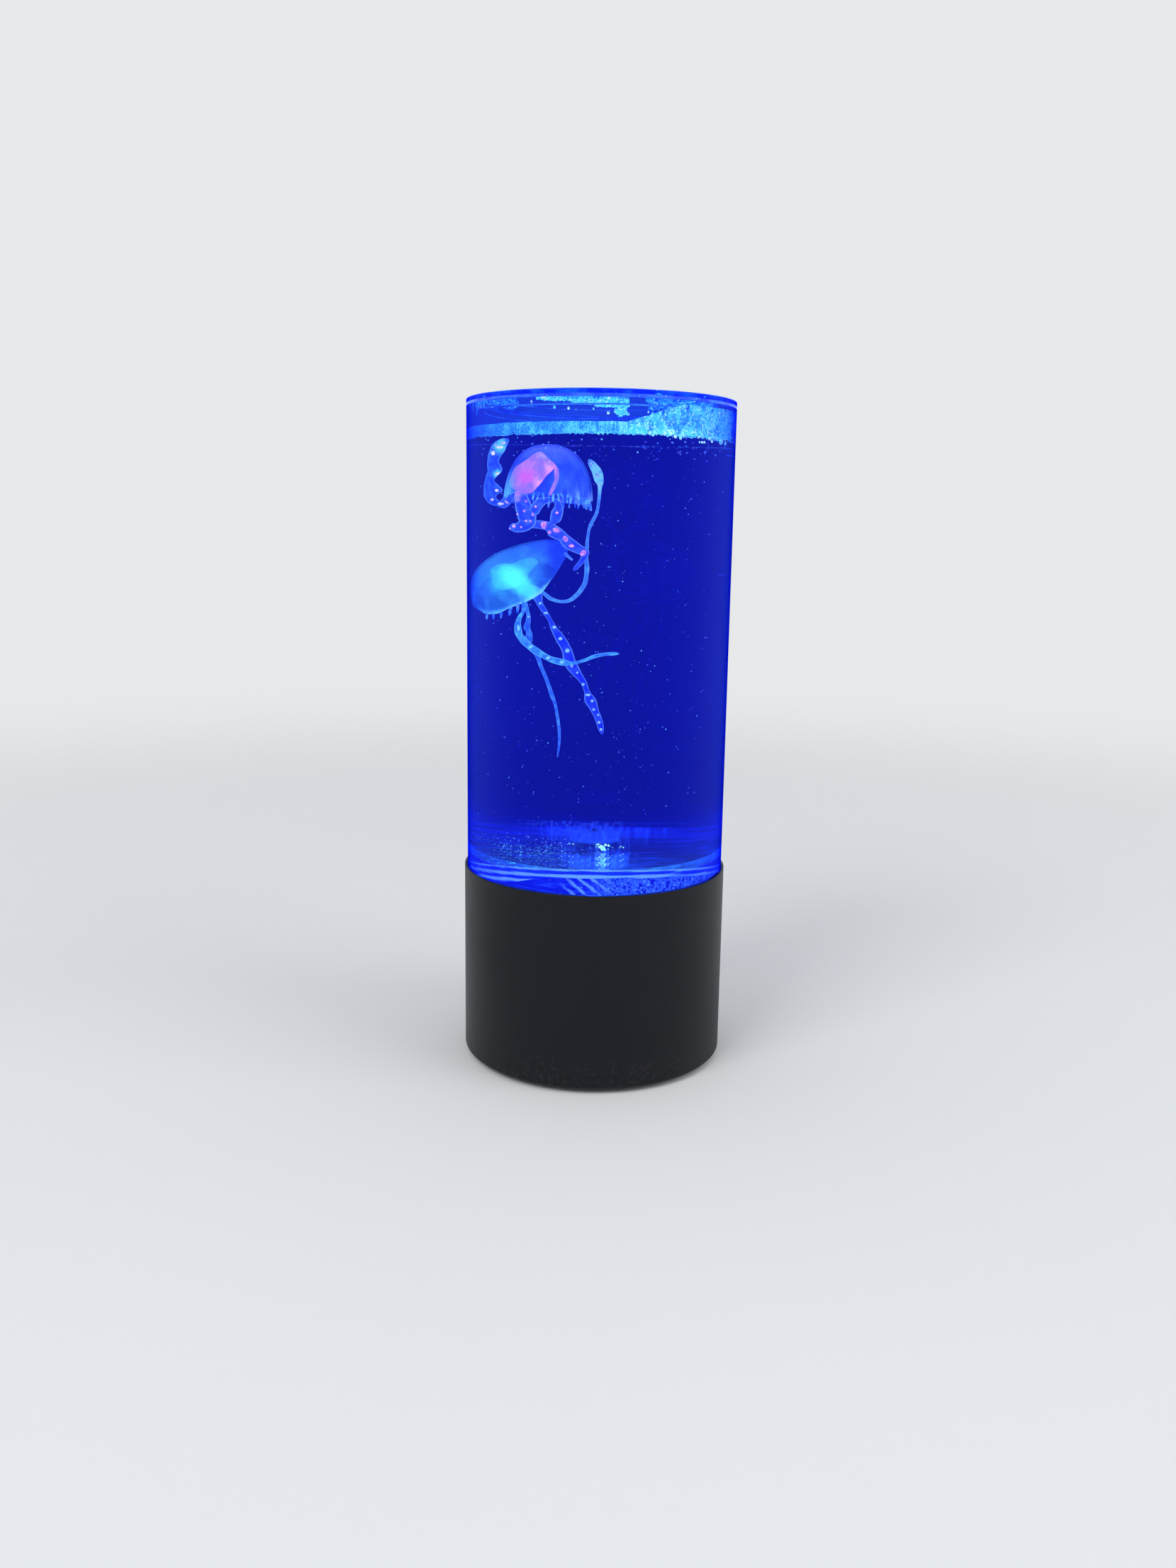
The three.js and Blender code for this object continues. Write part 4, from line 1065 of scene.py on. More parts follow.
walls = web.cells(4.5, "DISTANCE_TO_EDGE", (1, 1, 0.45)).step(0.14, 0.05)
solid = (1 - end_turn) + end_turn * walls
sparks = web.grain(1.0, 2).step(0.64, 0.69)
glow(
    web, 0, (34, 128, 230), (cloud.step(0.34, 0.56), (72, 206, 242)),
    (deep * 0.85, (12, 60, 205)), (fine * 0.6, (110, 232, 250)), (rings, (120, 240, 252)),
    (balls, (170, 255, 252)), (slits, (8, 30, 196)), (sparks, (185, 255, 252)),
)
web.feed(
    Base_Color=cloud.between((0.03, 0.2, 0.85), (0.3, 0.8, 1.0)),
    Alpha=web.math("SUBTRACT", solid * 0.96, slits * 0.5, clamp=True),
    Normal=fine.bump(0.2, 0.8),
)

build = bmesh.new()
start, end = SHEET_TURNS
count = int((end - start) / SHEET_STEP)
columns = []
for i in range(count + 1):
    turn = start + SHEET_STEP * i
    spot = on_wall(1, turn)
    fade = min(1.0, (turn - start) / SHEET_FADE, (end - turn) / SHEET_FADE)
    high = reading(SHEET_TOPS, turn) + SHEET_RAG * noise.noise(Vector((turn * 0.9, 4.0, 0.0)))
    outer, inner = [], []
    for k in range(SHEET_ROWS + 1):
        height = SHEET_LOW + (high - SHEET_LOW) * k / SHEET_ROWS
        rough = noise.noise(Vector((spot.x * 60, spot.y * 60, height * 1.2)))
        depth = SHEET_EDGE + fade * (SHEET_BODY + SHEET_LUMP * rough)
        depth *= math.sin(math.pi * (0.08 + 0.84 * k / SHEET_ROWS))
        for side, radius in ((outer, SHEET_RADIUS), (inner, SHEET_RADIUS - depth)):
            side.append(build.verts.new((spot * radius + Vector((0, 0, height))) * mm))
    columns.append(outer + inner[::-1])
bridged(build, columns)
for column in (columns[0], columns[-1]):
    build.faces.new(column)
sheet = thing_of("foam_sheet", meshed("foam_sheet", build))
wear(sheet, web)
fitted(sheet, "foam", "water_surface")

dice = random.Random(5)
spikes = []
for turn, low in SPIKES:
    for i in range(SPIKE_BEADS):
        height = SPIKE_TOP - (SPIKE_TOP - low) * i / SPIKE_BEADS
        spikes.append((*on_wall(SPIKE_RADIUS, turn, height), SPIKE_SIZE - SPIKE_TAPER * i))
hanging = scattered("wall_spikes", spikes, bead("bubble", 8, 4), bright_froth)
fitted(hanging, "foam", "water_surface")
spots = []
for turn, height, size in FOOT_BUBBLES:
    spots.append((*on_wall(FOOT_REACH - size, turn, height), size))
for number, where, sizes in FINE_BUBBLES:
    for i in range(number):
        spots.append((*ring_spot(dice, *where), dice.uniform(*sizes)))
foot_bubbles = scattered("foot_bubbles", spots, bead("bubble", 10, 6), glint_drop)
fitted(foot_bubbles, "foam", "water_surface")

# Specks: small bubbles of air that the pump drives round through the water, densest just under the
# surface, with some close over the floor at the left.

SPECKS = (
    (620, (2, 50.0, 105, 259.5), (0.1, 0.13, 0.16, 0.24), False),
    (70, (20, 50.2, 0, 1), (0.2, 0.26, 0.34), True),
    (130, (12, 46, 94, 99, -100, -20), (0.14, 0.2, 0.3), False),
)
SPECK_TOP = 259.4
SPECK_SINK = 6

# The specks' glow and painted glints stand in for the light that they catch.
motes = Finish("water_specks", Base_Color=(0.3, 0.6, 1.0))
spark = motes.grain(2.5, 2).step(0.3, 0.75)
glow(motes, 30, (40, 66, 235), (spark, (110, 165, 255)))
motes.feed(Roughness=spark * 0.2 + 0.2)
dice = random.Random(23)
specks = []
for number, where, sizes, crowded in SPECKS:
    for i in range(number):
        x, y, z = ring_spot(dice, *where)
        height = SPECK_TOP - SPECK_SINK * z * z if crowded else z
        specks.append((x, y, height, dice.choice(sizes)))
water_specks = scattered("water_specks", specks, bead("speck", 6, 3), motes)
fitted(water_specks, "foam", "water_surface")

# Upper jellyfish: a soft cast silicone bell, thin as a glove, tall and square-shouldered, with a
# comb of short threads round part of its mouth. Light passes through it to the core inside.

PINK_MOUTH = (-17.9, -16.014, 237.3)
PINK_TIP = (-5.0, 4.0)
PINK_SHAPE = (14.6, 20.7, 0.87)
PINK_THREAD = (0.8, 2.5)
BELL_WALL = 0.9
BELL_LUMP = 0.03
FOLD_REACH = 0.7
MOUTH_WAVE = 0.35
MOUTH_WAVES = 5
LIP_GLOW = 1.1
SILICONE = 1.4
BELL_SIDES = 180
BELL_RINGS = 30
THREAD_PROFILE = [(0, -1.0), (0.3, -0.92), (0.42, -0.6), (0.5, -0.15), (0.5, 0.1), (0, 0.3)]
THREAD_SIDES = 10
THREAD_SLANTS = {"Y": (-0.3, 0.1), "X": (-0.2, 0.2)}
THREAD_SIZES = (0.85, 1.1)
PINK_COMB = [(turn, 1.0) for turn in range(248, 340, 7)]
PINK_COMB += [(turn, 1.45) for turn in range(341, 362, 7)]
PINK_COMB += [(turn, 0.9) for turn in range(10, 140, 9)]


def tipped(mouth, tip):
    """From a jellyfish's own upright frame to the tank's: nodded, leaned, and set at its mouth."""
    nod, lean = [Matrix.Rotation(math.radians(turn), 4, axis) for turn, axis in zip(tip, "XY")]
    return Matrix.Translation(Vector(mouth) * mm) @ nod @ lean


def lifted(lift, turn):
    """How far out and up the mouth is drawn at this turn, towards the bell's own right side."""
    swell = max(0.0, math.cos(turn)) ** 3
    return 0.75 * lift * swell, lift * swell


def bell(name, shape, tip, folds, seed, lift=0.0):
    """A bell with its mouth at height 0: two skins that meet in a rounded lip. Each fold is a
    number of waves round the mouth and their depth."""
    radius, height, square = shape

    def skin(wide, tall):
        turns = [math.pi / 2 * i / BELL_RINGS for i in range(BELL_RINGS + 1)]
        return [(wide * math.sin(t) ** square, tall * max(0.0, math.cos(t)) ** square) for t in turns]

    def wave(r, h, turn):
        spot = Vector((math.cos(turn), math.sin(turn), h / height)) * 1.3 + Vector((seed, 0, 0))
        low = max(0.0, 1 - h / (FOLD_REACH * height)) ** 1.5
        fold = low * sum(depth * math.sin(count * turn + seed) for count, depth in folds)
        out, up = [way * max(0.0, 1 - h / height) for way in lifted(lift, turn)]
        wide = r + BELL_LUMP * noise.noise(spot) * r + fold + out * r / radius
        return wide, h + MOUTH_WAVE * low * math.sin(MOUTH_WAVES * turn + seed) + up

    lip = [(radius - BELL_WALL * share, -BELL_WALL * 0.35) for share in (0.2, 0.8)]
    profile = skin(radius, height) + lip + skin(radius - BELL_WALL, height - BELL_WALL)[::-1]
    mesh = turned_mesh(name, profile, BELL_SIDES, closed=False, wave=wave)
    # The rim value marks the lip, where the lower bell's skin gets a painted highlight.
    rim = mesh.attributes.new("rim", "FLOAT", "POINT")
    for point in mesh.vertices:
        rim.data[point.index].value = min(1.0, max(0.0, 1 - point.co.z / (LIP_GLOW * mm)))
    mesh.transform(tip)
    return thing_of(name, mesh)


def fringe(name, tip, stand, shape, comb, wide, long, made, seed, lift=0.0):
    """Threads at these turns round the mouth, set in the lip, each with its own length and slant."""
    dice = random.Random(seed)
    radius = shape[0] - BELL_WALL / 2
    places, turns, sizes = [], [], []
    for turn, size in comb:
        around = math.radians(turn + dice.uniform(-1, 1))
        out, up = lifted(lift, around)
        out += radius
        spot = tip @ (Vector((out * math.cos(around), out * math.sin(around), up)) * mm)
        nod, lean = [Matrix.Rotation(dice.uniform(*THREAD_SLANTS[axis]), 4, axis) for axis in "YX"]
        pose = stand.to_3x3().to_4x4() @ Matrix.Rotation(around, 4, "Z") @ nod @ lean
        places.append([c / mm for c in spot])
        turns.append(pose.to_euler("XYZ"))
        sizes.append(size * dice.uniform(*THREAD_SIZES))
    profile = [(r * wide, h * long) for r, h in THREAD_PROFILE]
    thread = thing_of(name + "_thread", turned_mesh(name, profile, THREAD_SIDES, closed=False))
    return on_points(name, places, thread, made, turns, sizes)


pink_tip = tipped(PINK_MOUTH, PINK_TIP)
pink_skin = Finish(
    "pink_bell_skin", Roughness=0.35, IOR=SILICONE,
    Sheen_Weight=0.5, Sheen_Roughness=0.25, Sheen_Tint=(0.3, 0.6, 1.0))
# The bell's glow is painted light: lighter at its top and its left edge, with painted highlights on the
# folds at the right of its mouth, and clearer where the core shows through. Its sheen is tinted blue to
# light its outline.
veil = pink_skin.grain(4, 4, (1, 1, 0.5), 0.6).step(0.35, 0.7)
left = pink_skin.axis("X").step(-0.029, -0.0325)
top = pink_skin.axis("Z").step(0.2495, 0.2565)
rim = pink_skin.axis("Z").step(0.2425, 0.2365) * pink_skin.axis("X").step(-0.018, -0.012)
folds = pink_skin.grain(2.0, 2, (1, 1, 0.12)).step(0.5, 0.62) * rim
glow(
    pink_skin, 30, (40, 82, 250), (veil, (58, 112, 255)), (top * 0.7, (84, 104, 252)),
    (left * 0.8, (105, 190, 255)), (folds, (130, 190, 255)),
)
core_clear = pink_skin.near((-23, 0, 246), 4, 9, (1, 0, 1)) * pink_skin.axis("Y").step(-0.016, -0.02)
pink_skin.feed(
    Base_Color=veil.between((0.05, 0.15, 0.8), (0.3, 0.5, 1.0)),
    Alpha=(veil * 0.1 + left * 0.35 + top * 0.15 + folds * 0.3 + 0.2) * (1 - core_clear * 0.75),
    Normal=veil.bump(0.3, 0.5),
)
pink_bell = bell("pink_dome", PINK_SHAPE, pink_tip, ((9, 0.3), (17, 0.25), (31, 0.1)), 2.0)
wear(pink_bell, pink_skin)
fitted(pink_bell, "pink_bell", "pink_jellyfish", "pink_bell")

# The threads' glow is painted light.
thread_skin = Finish("thread_skin", Roughness=0.35)
veil = thread_skin.grain(2.5, 3).step(0.35, 0.7)
glow(thread_skin, 32, (38, 90, 245), (veil, (100, 165, 255)))
thread_skin.feed(
    Base_Color=veil.between((0.06, 0.2, 0.85), (0.3, 0.55, 1.0)),
    Alpha=veil * 0.3 + 0.55,
)
pink_fringe = fringe(
    "pink_fringe", pink_tip, pink_tip, PINK_SHAPE, PINK_COMB, *PINK_THREAD, thread_skin, 3)
fitted(pink_fringe, "pink_bell", "pink_jellyfish")

# Pink core: a folded lump of coloured silicone inside the bell, against its left side, with two
# narrow folds that stand apart from it.

PEBBLE_RINGS = 24
CORE_ROUND = 0.55
CORE_LUMP = 0.09
CORE_GAP = 0.5
CORE_FOOT = 0.6
CORE_HEAD = 1.6
PINK_CORE = [
    (-31.2, 243.8), (-30.9, 245.9), (-28.9, 248.6), (-26.4, 250.9), (-24.5, 252.3), (-22.1, 254.2),
    (-19.6, 255.2), (-17.5, 252.7), (-15.2, 250.5), (-15.2, 248.6), (-17.5, 246.4), (-19.0, 244.3),
    (-20.5, 242.2), (-22.0, 240.3), (-23.2, 239.2), (-26.4, 238.6), (-28.9, 240.2), (-30.6, 242.1),
]
PINK_FOLDS = (
    (-20.5, 0.7, [
        (-15.6, 250.4), (-14.2, 248.7), (-13.8, 246.3), (-14.3, 243.2), (-15.5, 240.5), (-16.5, 238.7),
        (-17.2, 239.1), (-16.3, 241.8), (-15.2, 244.6), (-14.9, 247.3)]),
    (-18.5, 0.7, [(-29.1, 240.0), (-27.4, 239.6), (-27.1, 238.4), (-28.9, 238.6)]),
)
PINK_DEPTH = (-17.0, 5.5)


def curve_through(rows, steps, closed=False):
    """Rows of numbers, with more between them on a smooth curve through them all."""
    last = len(rows) - 1
    out = []
    for i in range(last + 1 if closed else last):
        picks = [k % (last + 1) if closed else min(max(k, 0), last) for k in (i - 1, i, i + 1, i + 2)]
        a, b, c, d = [rows[k] for k in picks]
        for step in range(steps):
            t = step / steps
            row = []
            for p, q, r, s in zip(a, b, c, d):
                curve = (2 * p - 5 * q + 4 * r - s) * t * t + (3 * q - p - 3 * r + s) * t ** 3
                row.append(0.5 * (2 * q + (r - p) * t + curve))
            out.append(row)
    return out if closed else out + [list(rows[-1])]


def add_pebble(build, outline, depth, half, tip, shape):
    """A lump with this outline seen from the front, rounded front and back, held inside the bell."""
    radius, height, square = shape
    edge = [Vector((x, 0, z)) for x, z in curve_through(outline, 5, closed=True)]
    centre = sum(edge, Vector()) / len(edge)
    rings = []
    for i in range(PEBBLE_RINGS + 1):
        turn = math.pi * i / PEBBLE_RINGS
        share = max(0.0, math.sin(turn)) ** CORE_ROUND
        ring = []
        for spot in edge if 0 < i < PEBBLE_RINGS else edge[:1]:
            lump = 1 + CORE_LUMP * noise.noise(spot * 0.22 + Vector((0, turn, 0)))
            place = centre + (spot - centre) * share * lump
            place += Vector((0, depth - half * math.cos(turn), 0))
            own = tip.inverted() @ (place * mm) / mm
            tall = min(max(own.z, CORE_FOOT), height - CORE_HEAD)
            room = (1 - (tall / (height - BELL_WALL)) ** (2 / square)) ** (square / 2)
            room *= radius - BELL_WALL - CORE_GAP
            out = math.hypot(own.x, own.y)
            squeeze = min(1.0, room / out) if out else 1.0
            own = Vector((own.x * squeeze, own.y * squeeze, own.z))
            ring.append(build.verts.new(tip @ (own * mm)))
        rings.append(ring)
    bridged(build, rings)


# The core's glow is painted light, with brighter and darker spots, fine bluer specks and a bluer left
# edge painted on.
pink_flesh = Finish("pink_flesh")
mottle = pink_flesh.grain(3.5, 4, (1, 1, 1), 0.8).step(0.35, 0.68)
flat = (1, 0, 1)
specks = pink_flesh.grain(1.1, 3, (1, 0.3, 0.6)).step(0.5, 0.6) * pink_flesh.grain(5, 2).step(0.42, 0.6)
glow(
    pink_flesh, 31, (182, 112, 248), (mottle, (215, 128, 248)),
    (pink_flesh.near((-25.2, 0, 245.3), 0.5, 4.5, flat) * 0.9, (232, 92, 240)),
    (pink_flesh.near((-17.3, 0, 249.2), 0.5, 3.5, flat), (250, 165, 255)),
    (pink_flesh.near((-20.6, 0, 242.8), 0.5, 3.0, flat), (248, 160, 255)),
    (pink_flesh.near((-19.4, 0, 254.0), 0.5, 3.0, flat), (235, 175, 255)),
    (pink_flesh.near((-20.3, 0, 248.8), 0.4, 2.6, (1, 0, 0.45)) * 0.8, (140, 112, 250)),
    (pink_flesh.near((-23.7, 0, 242.2), 0.3, 1.8, flat) * 0.8, (140, 105, 248)),
    (pink_flesh.axis("X").step(-0.0275, -0.031), (165, 120, 252)),
    (specks * 0.75, (138, 118, 236)),
)
pink_flesh.feed(
    Base_Color=mottle.between((0.4, 0.12, 0.8), (0.85, 0.3, 0.95)),
    Roughness=mottle * 0.2 + 0.3,
    Normal=mottle.bump(0.5, 0.6),
)
heart = bmesh.new()
add_pebble(heart, PINK_CORE, *PINK_DEPTH, pink_tip, PINK_SHAPE)
for depth, half, outline in PINK_FOLDS:
    add_pebble(heart, outline, depth, half, pink_tip, PINK_SHAPE)
pink_heart = thing_of("pink_heart", meshed("pink_heart", heart))
wear(pink_heart, pink_flesh)
fitted(pink_heart, "pink_core", "pink_jellyfish", "pink_core")

# Arms: soft flat ribbons of thin silicone with pale glowing pads on them. Each follows its two edges,
# given down the arm as left and right (sideways, height) and the depth (front to back) of both.

ARM_STEPS = 5
ARM_SIDES = 16
ARM_HALF = 0.4
ARM_RUFFLE = 0.4
ARM_WAVES = 1.5
ARM_SHIFT = 0.8
ARM_BROAD = 1.5
PAD_SIDES = 14
PAD_PROFILE = ((0.0, -0.42), (0.55, -0.36), (0.9, -0.18), (1.0, 0.0), (0.6, 0.25), (0.0, 0.3))
PINK_ARMS = {
    "pink_curled_arm": [
        (-29.0, 236.5, -29.3, 239.6, -14.0), (-30.2, 234.7, -31.4, 238.5, -13.5),
        (-32.2, 233.3, -33.6, 236.3, -13.5), (-34.6, 234.0, -34.1, 236.2, -13.5),
        (-38.2, 235.1, -35.4, 237.5, -13.5), (-40.3, 237.6, -34.6, 238.7, -13.5),
        (-40.8, 239.9, -32.9, 240.3, -14.0), (-40.5, 242.0, -34.4, 242.2, -14.0),
        (-40.3, 244.2, -36.3, 244.0, -14.5), (-39.7, 246.0, -35.2, 245.6, -15.0),
        (-39.3, 247.9, -33.3, 248.1, -15.5), (-39.5, 249.9, -34.0, 250.0, -16.0),
        (-39.6, 251.7, -34.8, 251.3, -16.3), (-39.2, 253.8, -33.6, 253.9, -16.6),
        (-38.7, 255.7, -32.4, 255.7, -17.0), (-36.9, 258.4, -31.5, 258.3, -17.5),
        (-34.4, 260.1, -30.5, 260.0, -18.0),
    ],
    "pink_short_arm": [
        (-28.7, 240.2, -24.8, 240.0, -16.5), (-29.0, 237.3, -23.9, 237.3, -16.8),
        (-28.8, 234.3, -22.9, 234.4, -17.2), (-28.4, 231.7, -21.6, 231.8, -17.8),
        (-27.9, 229.6, -21.4, 229.2, -18.3), (-27.6, 228.6, -22.0, 226.6, -18.7),
        (-28.0, 227.8, -24.6, 224.6, -19.0), (-29.0, 227.4, -27.2, 224.0, -19.2),
        (-30.1, 227.3, -28.6, 224.0, -19.4), (-31.5, 225.9, -31.1, 224.7, -19.6),
    ],
    "pink_loop_arm": [
        (-24.0, 232.4, -21.1, 230.3, -20.0), (-23.3, 234.3, -20.3, 232.3, -20.8),
        (-22.2, 236.3, -19.3, 234.1, -21.5), (-19.7, 237.5, -17.9, 235.4, -22.0),
        (-16.8, 237.6, -16.5, 236.1, -22.3), (-14.0, 236.6, -15.3, 235.4, -22.6),
        (-12.7, 234.2, -15.6, 233.9, -22.6), (-12.5, 231.6, -16.5, 232.1, -22.4),
        (-13.4, 228.6, -16.9, 229.9, -22.0), (-15.3, 227.3, -17.0, 228.2, -21.6),
        (-17.0, 225.7, -18.4, 227.5, -21.2),
    ],
    "pink_long_arm": [
        (-24.2, 228.5, -22.8, 231.2, -10.5), (-23.0, 226.0, -21.7, 228.8, -11.5),
        (-19.8, 225.5, -19.1, 228.7, -13.0), (-17.5, 224.8, -16.0, 227.9, -14.5),
        (-17.0, 223.0, -14.3, 226.8, -15.2), (-15.2, 221.8, -12.1, 225.0, -15.8),
        (-13.4, 220.9, -9.9, 222.6, -16.3), (-12.2, 218.8, -7.6, 220.7, -16.7),
        (-10.3, 217.3, -5.6, 218.9, -17.0), (-7.6, 216.2, -3.8, 217.8, -17.4),
        (-5.9, 215.2, -3.5, 215.9, -17.8), (-6.7, 213.5, -5.2, 212.5, -18.0),
        (-8.1, 211.3, -6.7, 210.6, -18.2), (-9.0, 209.7, -8.1, 209.0, -18.4),
    ],
}
PADS = {
    "pink_curled_arm": [
        (-33.3, 258.3, 0.97, 0.4, 0), (-34.7, 256.7, 1.49, 0.49, 0), (-36.2, 257.6, 0.42, 0.39, 0),
        (-37.2, 254.6, 0.89, 0.98, 0), (-35.2, 246.6, 0.99, 0.49, 35), (-35.2, 240.2, 0.82, 0.58, 0),
        (-37.0, 236.6, 0.78, 0.5, 0), (-33.6, 235.0, 1.28, 0.5, 0), (-31.4, 235.7, 0.93, 0.33, -40),
    ],
    "pink_short_arm": [
        (-24.9, 236.0, 0.48, 0.49, 0), (-25.5, 232.2, 0.51, 0.53, 0), (-22.6, 231.1, 0.38, 0.82, 0),
        (-28.0, 231.0, 0.4, 0.4, 0), (-25.0, 228.4, 0.48, 0.46, 0), (-23.5, 228.4, 0.36, 0.4, 0),
        (-29.5, 226.3, 0.67, 0.66, 0), (-31.0, 225.4, 0.34, 0.35, 0), (-26.8, 226.0, 0.36, 0.39, 0),
    ],
    "pink_loop_arm": [(-21.8, 234.0, 0.5, 0.49, 0), (-14.6, 231.7, 0.52, 0.49, 0)],
    "pink_long_arm": [
        (-18.3, 226.9, 1.15, 1.45, 10), (-14.2, 224.9, 1.4, 1.0, -20), (-16.6, 224.2, 0.62, 0.7, 0),
        (-11.3, 221.6, 0.8, 1.25, 25), (-9.3, 219.0, 0.95, 0.6, -10), (-5.4, 216.2, 1.0, 1.3, -30),
    ],
    "cyan_rising_tentacle": [
        (-2.6, 251.6, 0.69, 0.67, -20), (-0.8, 247.1, 0.81, 0.91, 0), (-0.2, 243.0, 0.65, 0.44, 0),
    ],
    "cyan_broad_arm": [
        (-18.7, 195.6, 0.45, 0.53, 0), (-16.9, 191.8, 0.71, 0.45, -20), (-14.2, 186.2, 0.65, 0.57, 0),
        (-12.2, 181.6, 0.65, 0.69, 0), (-9.9, 176.8, 0.78, 0.9, 0), (-8.4, 170.6, 0.44, 0.56, 0),
        (-6.6, 167.9, 0.37, 0.47, 0), (-4.6, 163.2, 0.52, 0.61, 0), (-3.0, 158.8, 0.81, 0.52, 0),
        (-1.6, 156.4, 0.52, 0.61, 0), (-1.0, 152.8, 0.48, 0.61, 0), (0.4, 150.6, 0.41, 0.52, 0),
        (0.8, 147.5, 0.52, 0.61, 0), (1.5, 144.6, 0.4, 0.6, 0),
    ],
    "cyan_thin_arm": [(-21.6, 189.7, 0.37, 0.49, 0), (-21.6, 179.2, 0.5, 0.54, 0)],
    "cyan_sweeping_arm": [
        (-26.9, 185.9, 0.53, 1.37, 0), (-22.6, 178.6, 0.69, 0.52, 30), (-16.7, 174.4, 0.72, 0.57, 15),
        (-12.0, 172.9, 0.68, 0.61, 0),
    ],
}


def ribbon(name, rows):
    """A soft flat arm between its two edges, thick in the middle, thin and ruffled at the edges."""
    rows = curve_through(rows, ARM_STEPS)
    centres = [Vector(((a + c) / 2, y, (b + d) / 2)) for a, b, c, d, y in rows]
    halves = [Vector(((c - a) / 2, 0, (d - b) / 2)) for a, b, c, d, y in rows]
    build = bmesh.new()
    edge = build.verts.layers.float.new("edge")
    rings = []
    length = 0.0
    for i, (centre, half) in enumerate(zip(centres, halves)):
        along = centres[min(i + 1, len(centres) - 1)] - centres[max(i - 1, 0)]
        face = along.cross(half).normalized()
        face *= -1 if face.y > 0 else 1
        length += (centre - centres[max(i - 1, 0)]).length
        cap = math.sqrt(min(1.0, 0.1 + 0.3 * min(i, len(centres) - 1 - i)))
        ring = []
        for k in range(ARM_SIDES):
            turn = 2 * math.pi * k / ARM_SIDES
            across = math.cos(turn)
            wavy = math.sin(length * ARM_WAVES + (ARM_SHIFT if across > 0 else 0))
            wavy *= ARM_RUFFLE * across ** 2 * min(1, half.length / ARM_BROAD)
            lift = ARM_HALF * math.sin(turn) * (1.2 - 0.5 * abs(across)) * cap + wavy
            point = build.verts.new((centre + half * across * cap + face * lift) * mm)
            point[edge] = abs(across) ** 4
            ring.append(point)
        rings.append(ring)
    bridged(build, rings)
    for ring in (rings[0], rings[-1]):
        build.faces.new(ring)
    for x, z, wide, tall, turn in PADS.get(name, ()):
        near = min(centres, key=lambda centre: (centre.x - x) ** 2 + (centre.z - z) ** 2)
        add_pad(build, Vector((x, near.y - ARM_HALF * 0.8, z)), wide, tall, math.radians(turn))
    return meshed(name, build)


def add_pad(build, centre, wide, tall, turn):
    """A small lens-shaped pad that faces the front, in the arm's second finish."""
    rings = []
    own = Matrix.Rotation(-turn, 3, "Y")
    for share, proud in PAD_PROFILE:
        ring = []
        for k in range(PAD_SIDES if share else 1):
            angle = 2 * math.pi * k / PAD_SIDES
            spot = Vector((wide * share * math.cos(angle), proud, tall * share * math.sin(angle)))
            ring.append(build.verts.new((centre + own @ spot) * mm))
        rings.append(ring)
    bridged(build, rings, made=1)


def arm_finish(name, depth, dark, bright, edge_light, alpha, *more):
    """A thin arm's silicone, glowing with painted light: dark and bright drifts, painted highlights
    on its edges, and bright spots at more places.
    """
    made = Finish(name, Roughness=0.35, IOR=SILICONE)
    flow = made.grain(2.6, 4, (1, 1, 1), 0.5)
    edge = made.node("ShaderNodeAttribute", {"attribute_name": "edge"}, output="Fac").step(0.25, 0.95)
    layers = [(flow.step(0.4, 0.68), bright), (edge, edge_light)]
    for spot, reach, colour in more:
        layers.append((made.near(spot, reach * 0.4, reach, (1, 0, 1)) * flow.step(0.3, 0.5), colour))
    glow(made, depth, dark, *layers)
    made.feed(
        Base_Color=flow.between((0.05, 0.18, 0.85), (0.3, 0.6, 1.0)),
        Alpha=flow * 0.25 + alpha,
        Normal=flow.bump(0.2, 0.5),
    )
    return made


def add_arms(table, *fits):
    """Makes each arm in place of its node, from that node's rows in the table."""
    for node, body, made, pads in fits:
        label = node.replace("_arm", "_ribbon").replace("tentacle", "thread")
        arm = thing_of(label, ribbon(node, table[node]))
        wear(arm, made, pads)
        fitted(arm, "pink_bell" if node.startswith("pink") else "cyan_bell", body, node)


# A pad's glow is painted light, mottled brighter and darker.
def pad_finish(name, depth, dark, bright):
    made = Finish(name, Roughness=0.3)
    pad_glow_mottle = made.grain(1.2, 2).step(0.35, 0.65)
    glow(made, depth, dark, (pad_glow_mottle, bright))
    made.feed(Base_Color=pad_glow_mottle.between([v / 300 for v in dark], [v / 270 for v in bright]))
    return made


white_pads = pad_finish("white_pads", 30, (200, 160, 250), (255, 232, 240))
pink_pads = pad_finish("pink_pads", 34, (172, 112, 235), (238, 165, 232))
cyan_pads = pad_finish("cyan_pads", 38, (92, 165, 255), (160, 225, 255))
curl_skin = arm_finish(
    "curled_arm_skin", 30, (34, 62, 238), (56, 100, 245), (80, 130, 255), 0.6,
    ((-34.5, 0, 257.5), 4, (95, 190, 255)), ((-35.2, 0, 246.6), 2.2, (95, 200, 255)))
pink_arm_skin = arm_finish(
    "pink_arm_skin", 33, (34, 55, 238), (55, 92, 250), (95, 140, 255), 0.66,
    ((-28.2, 0, 237.5), 2.4, (150, 125, 250)))
add_arms(
    PINK_ARMS,
    ("pink_curled_arm", "pink_jellyfish", curl_skin, white_pads),
    ("pink_short_arm", "pink_arms", pink_arm_skin, pink_pads),
    ("pink_loop_arm", "pink_arms", pink_arm_skin, pink_pads),
    ("pink_long_arm", "pink_arms", pink_arm_skin, pink_pads),
)

# Lower jellyfish: a wider, lower bell of the same silicone, leaned over to the left so that its
# mouth faces down and right, with a few coarse threads and a cyan core whose glow is painted on
# the bell's front.

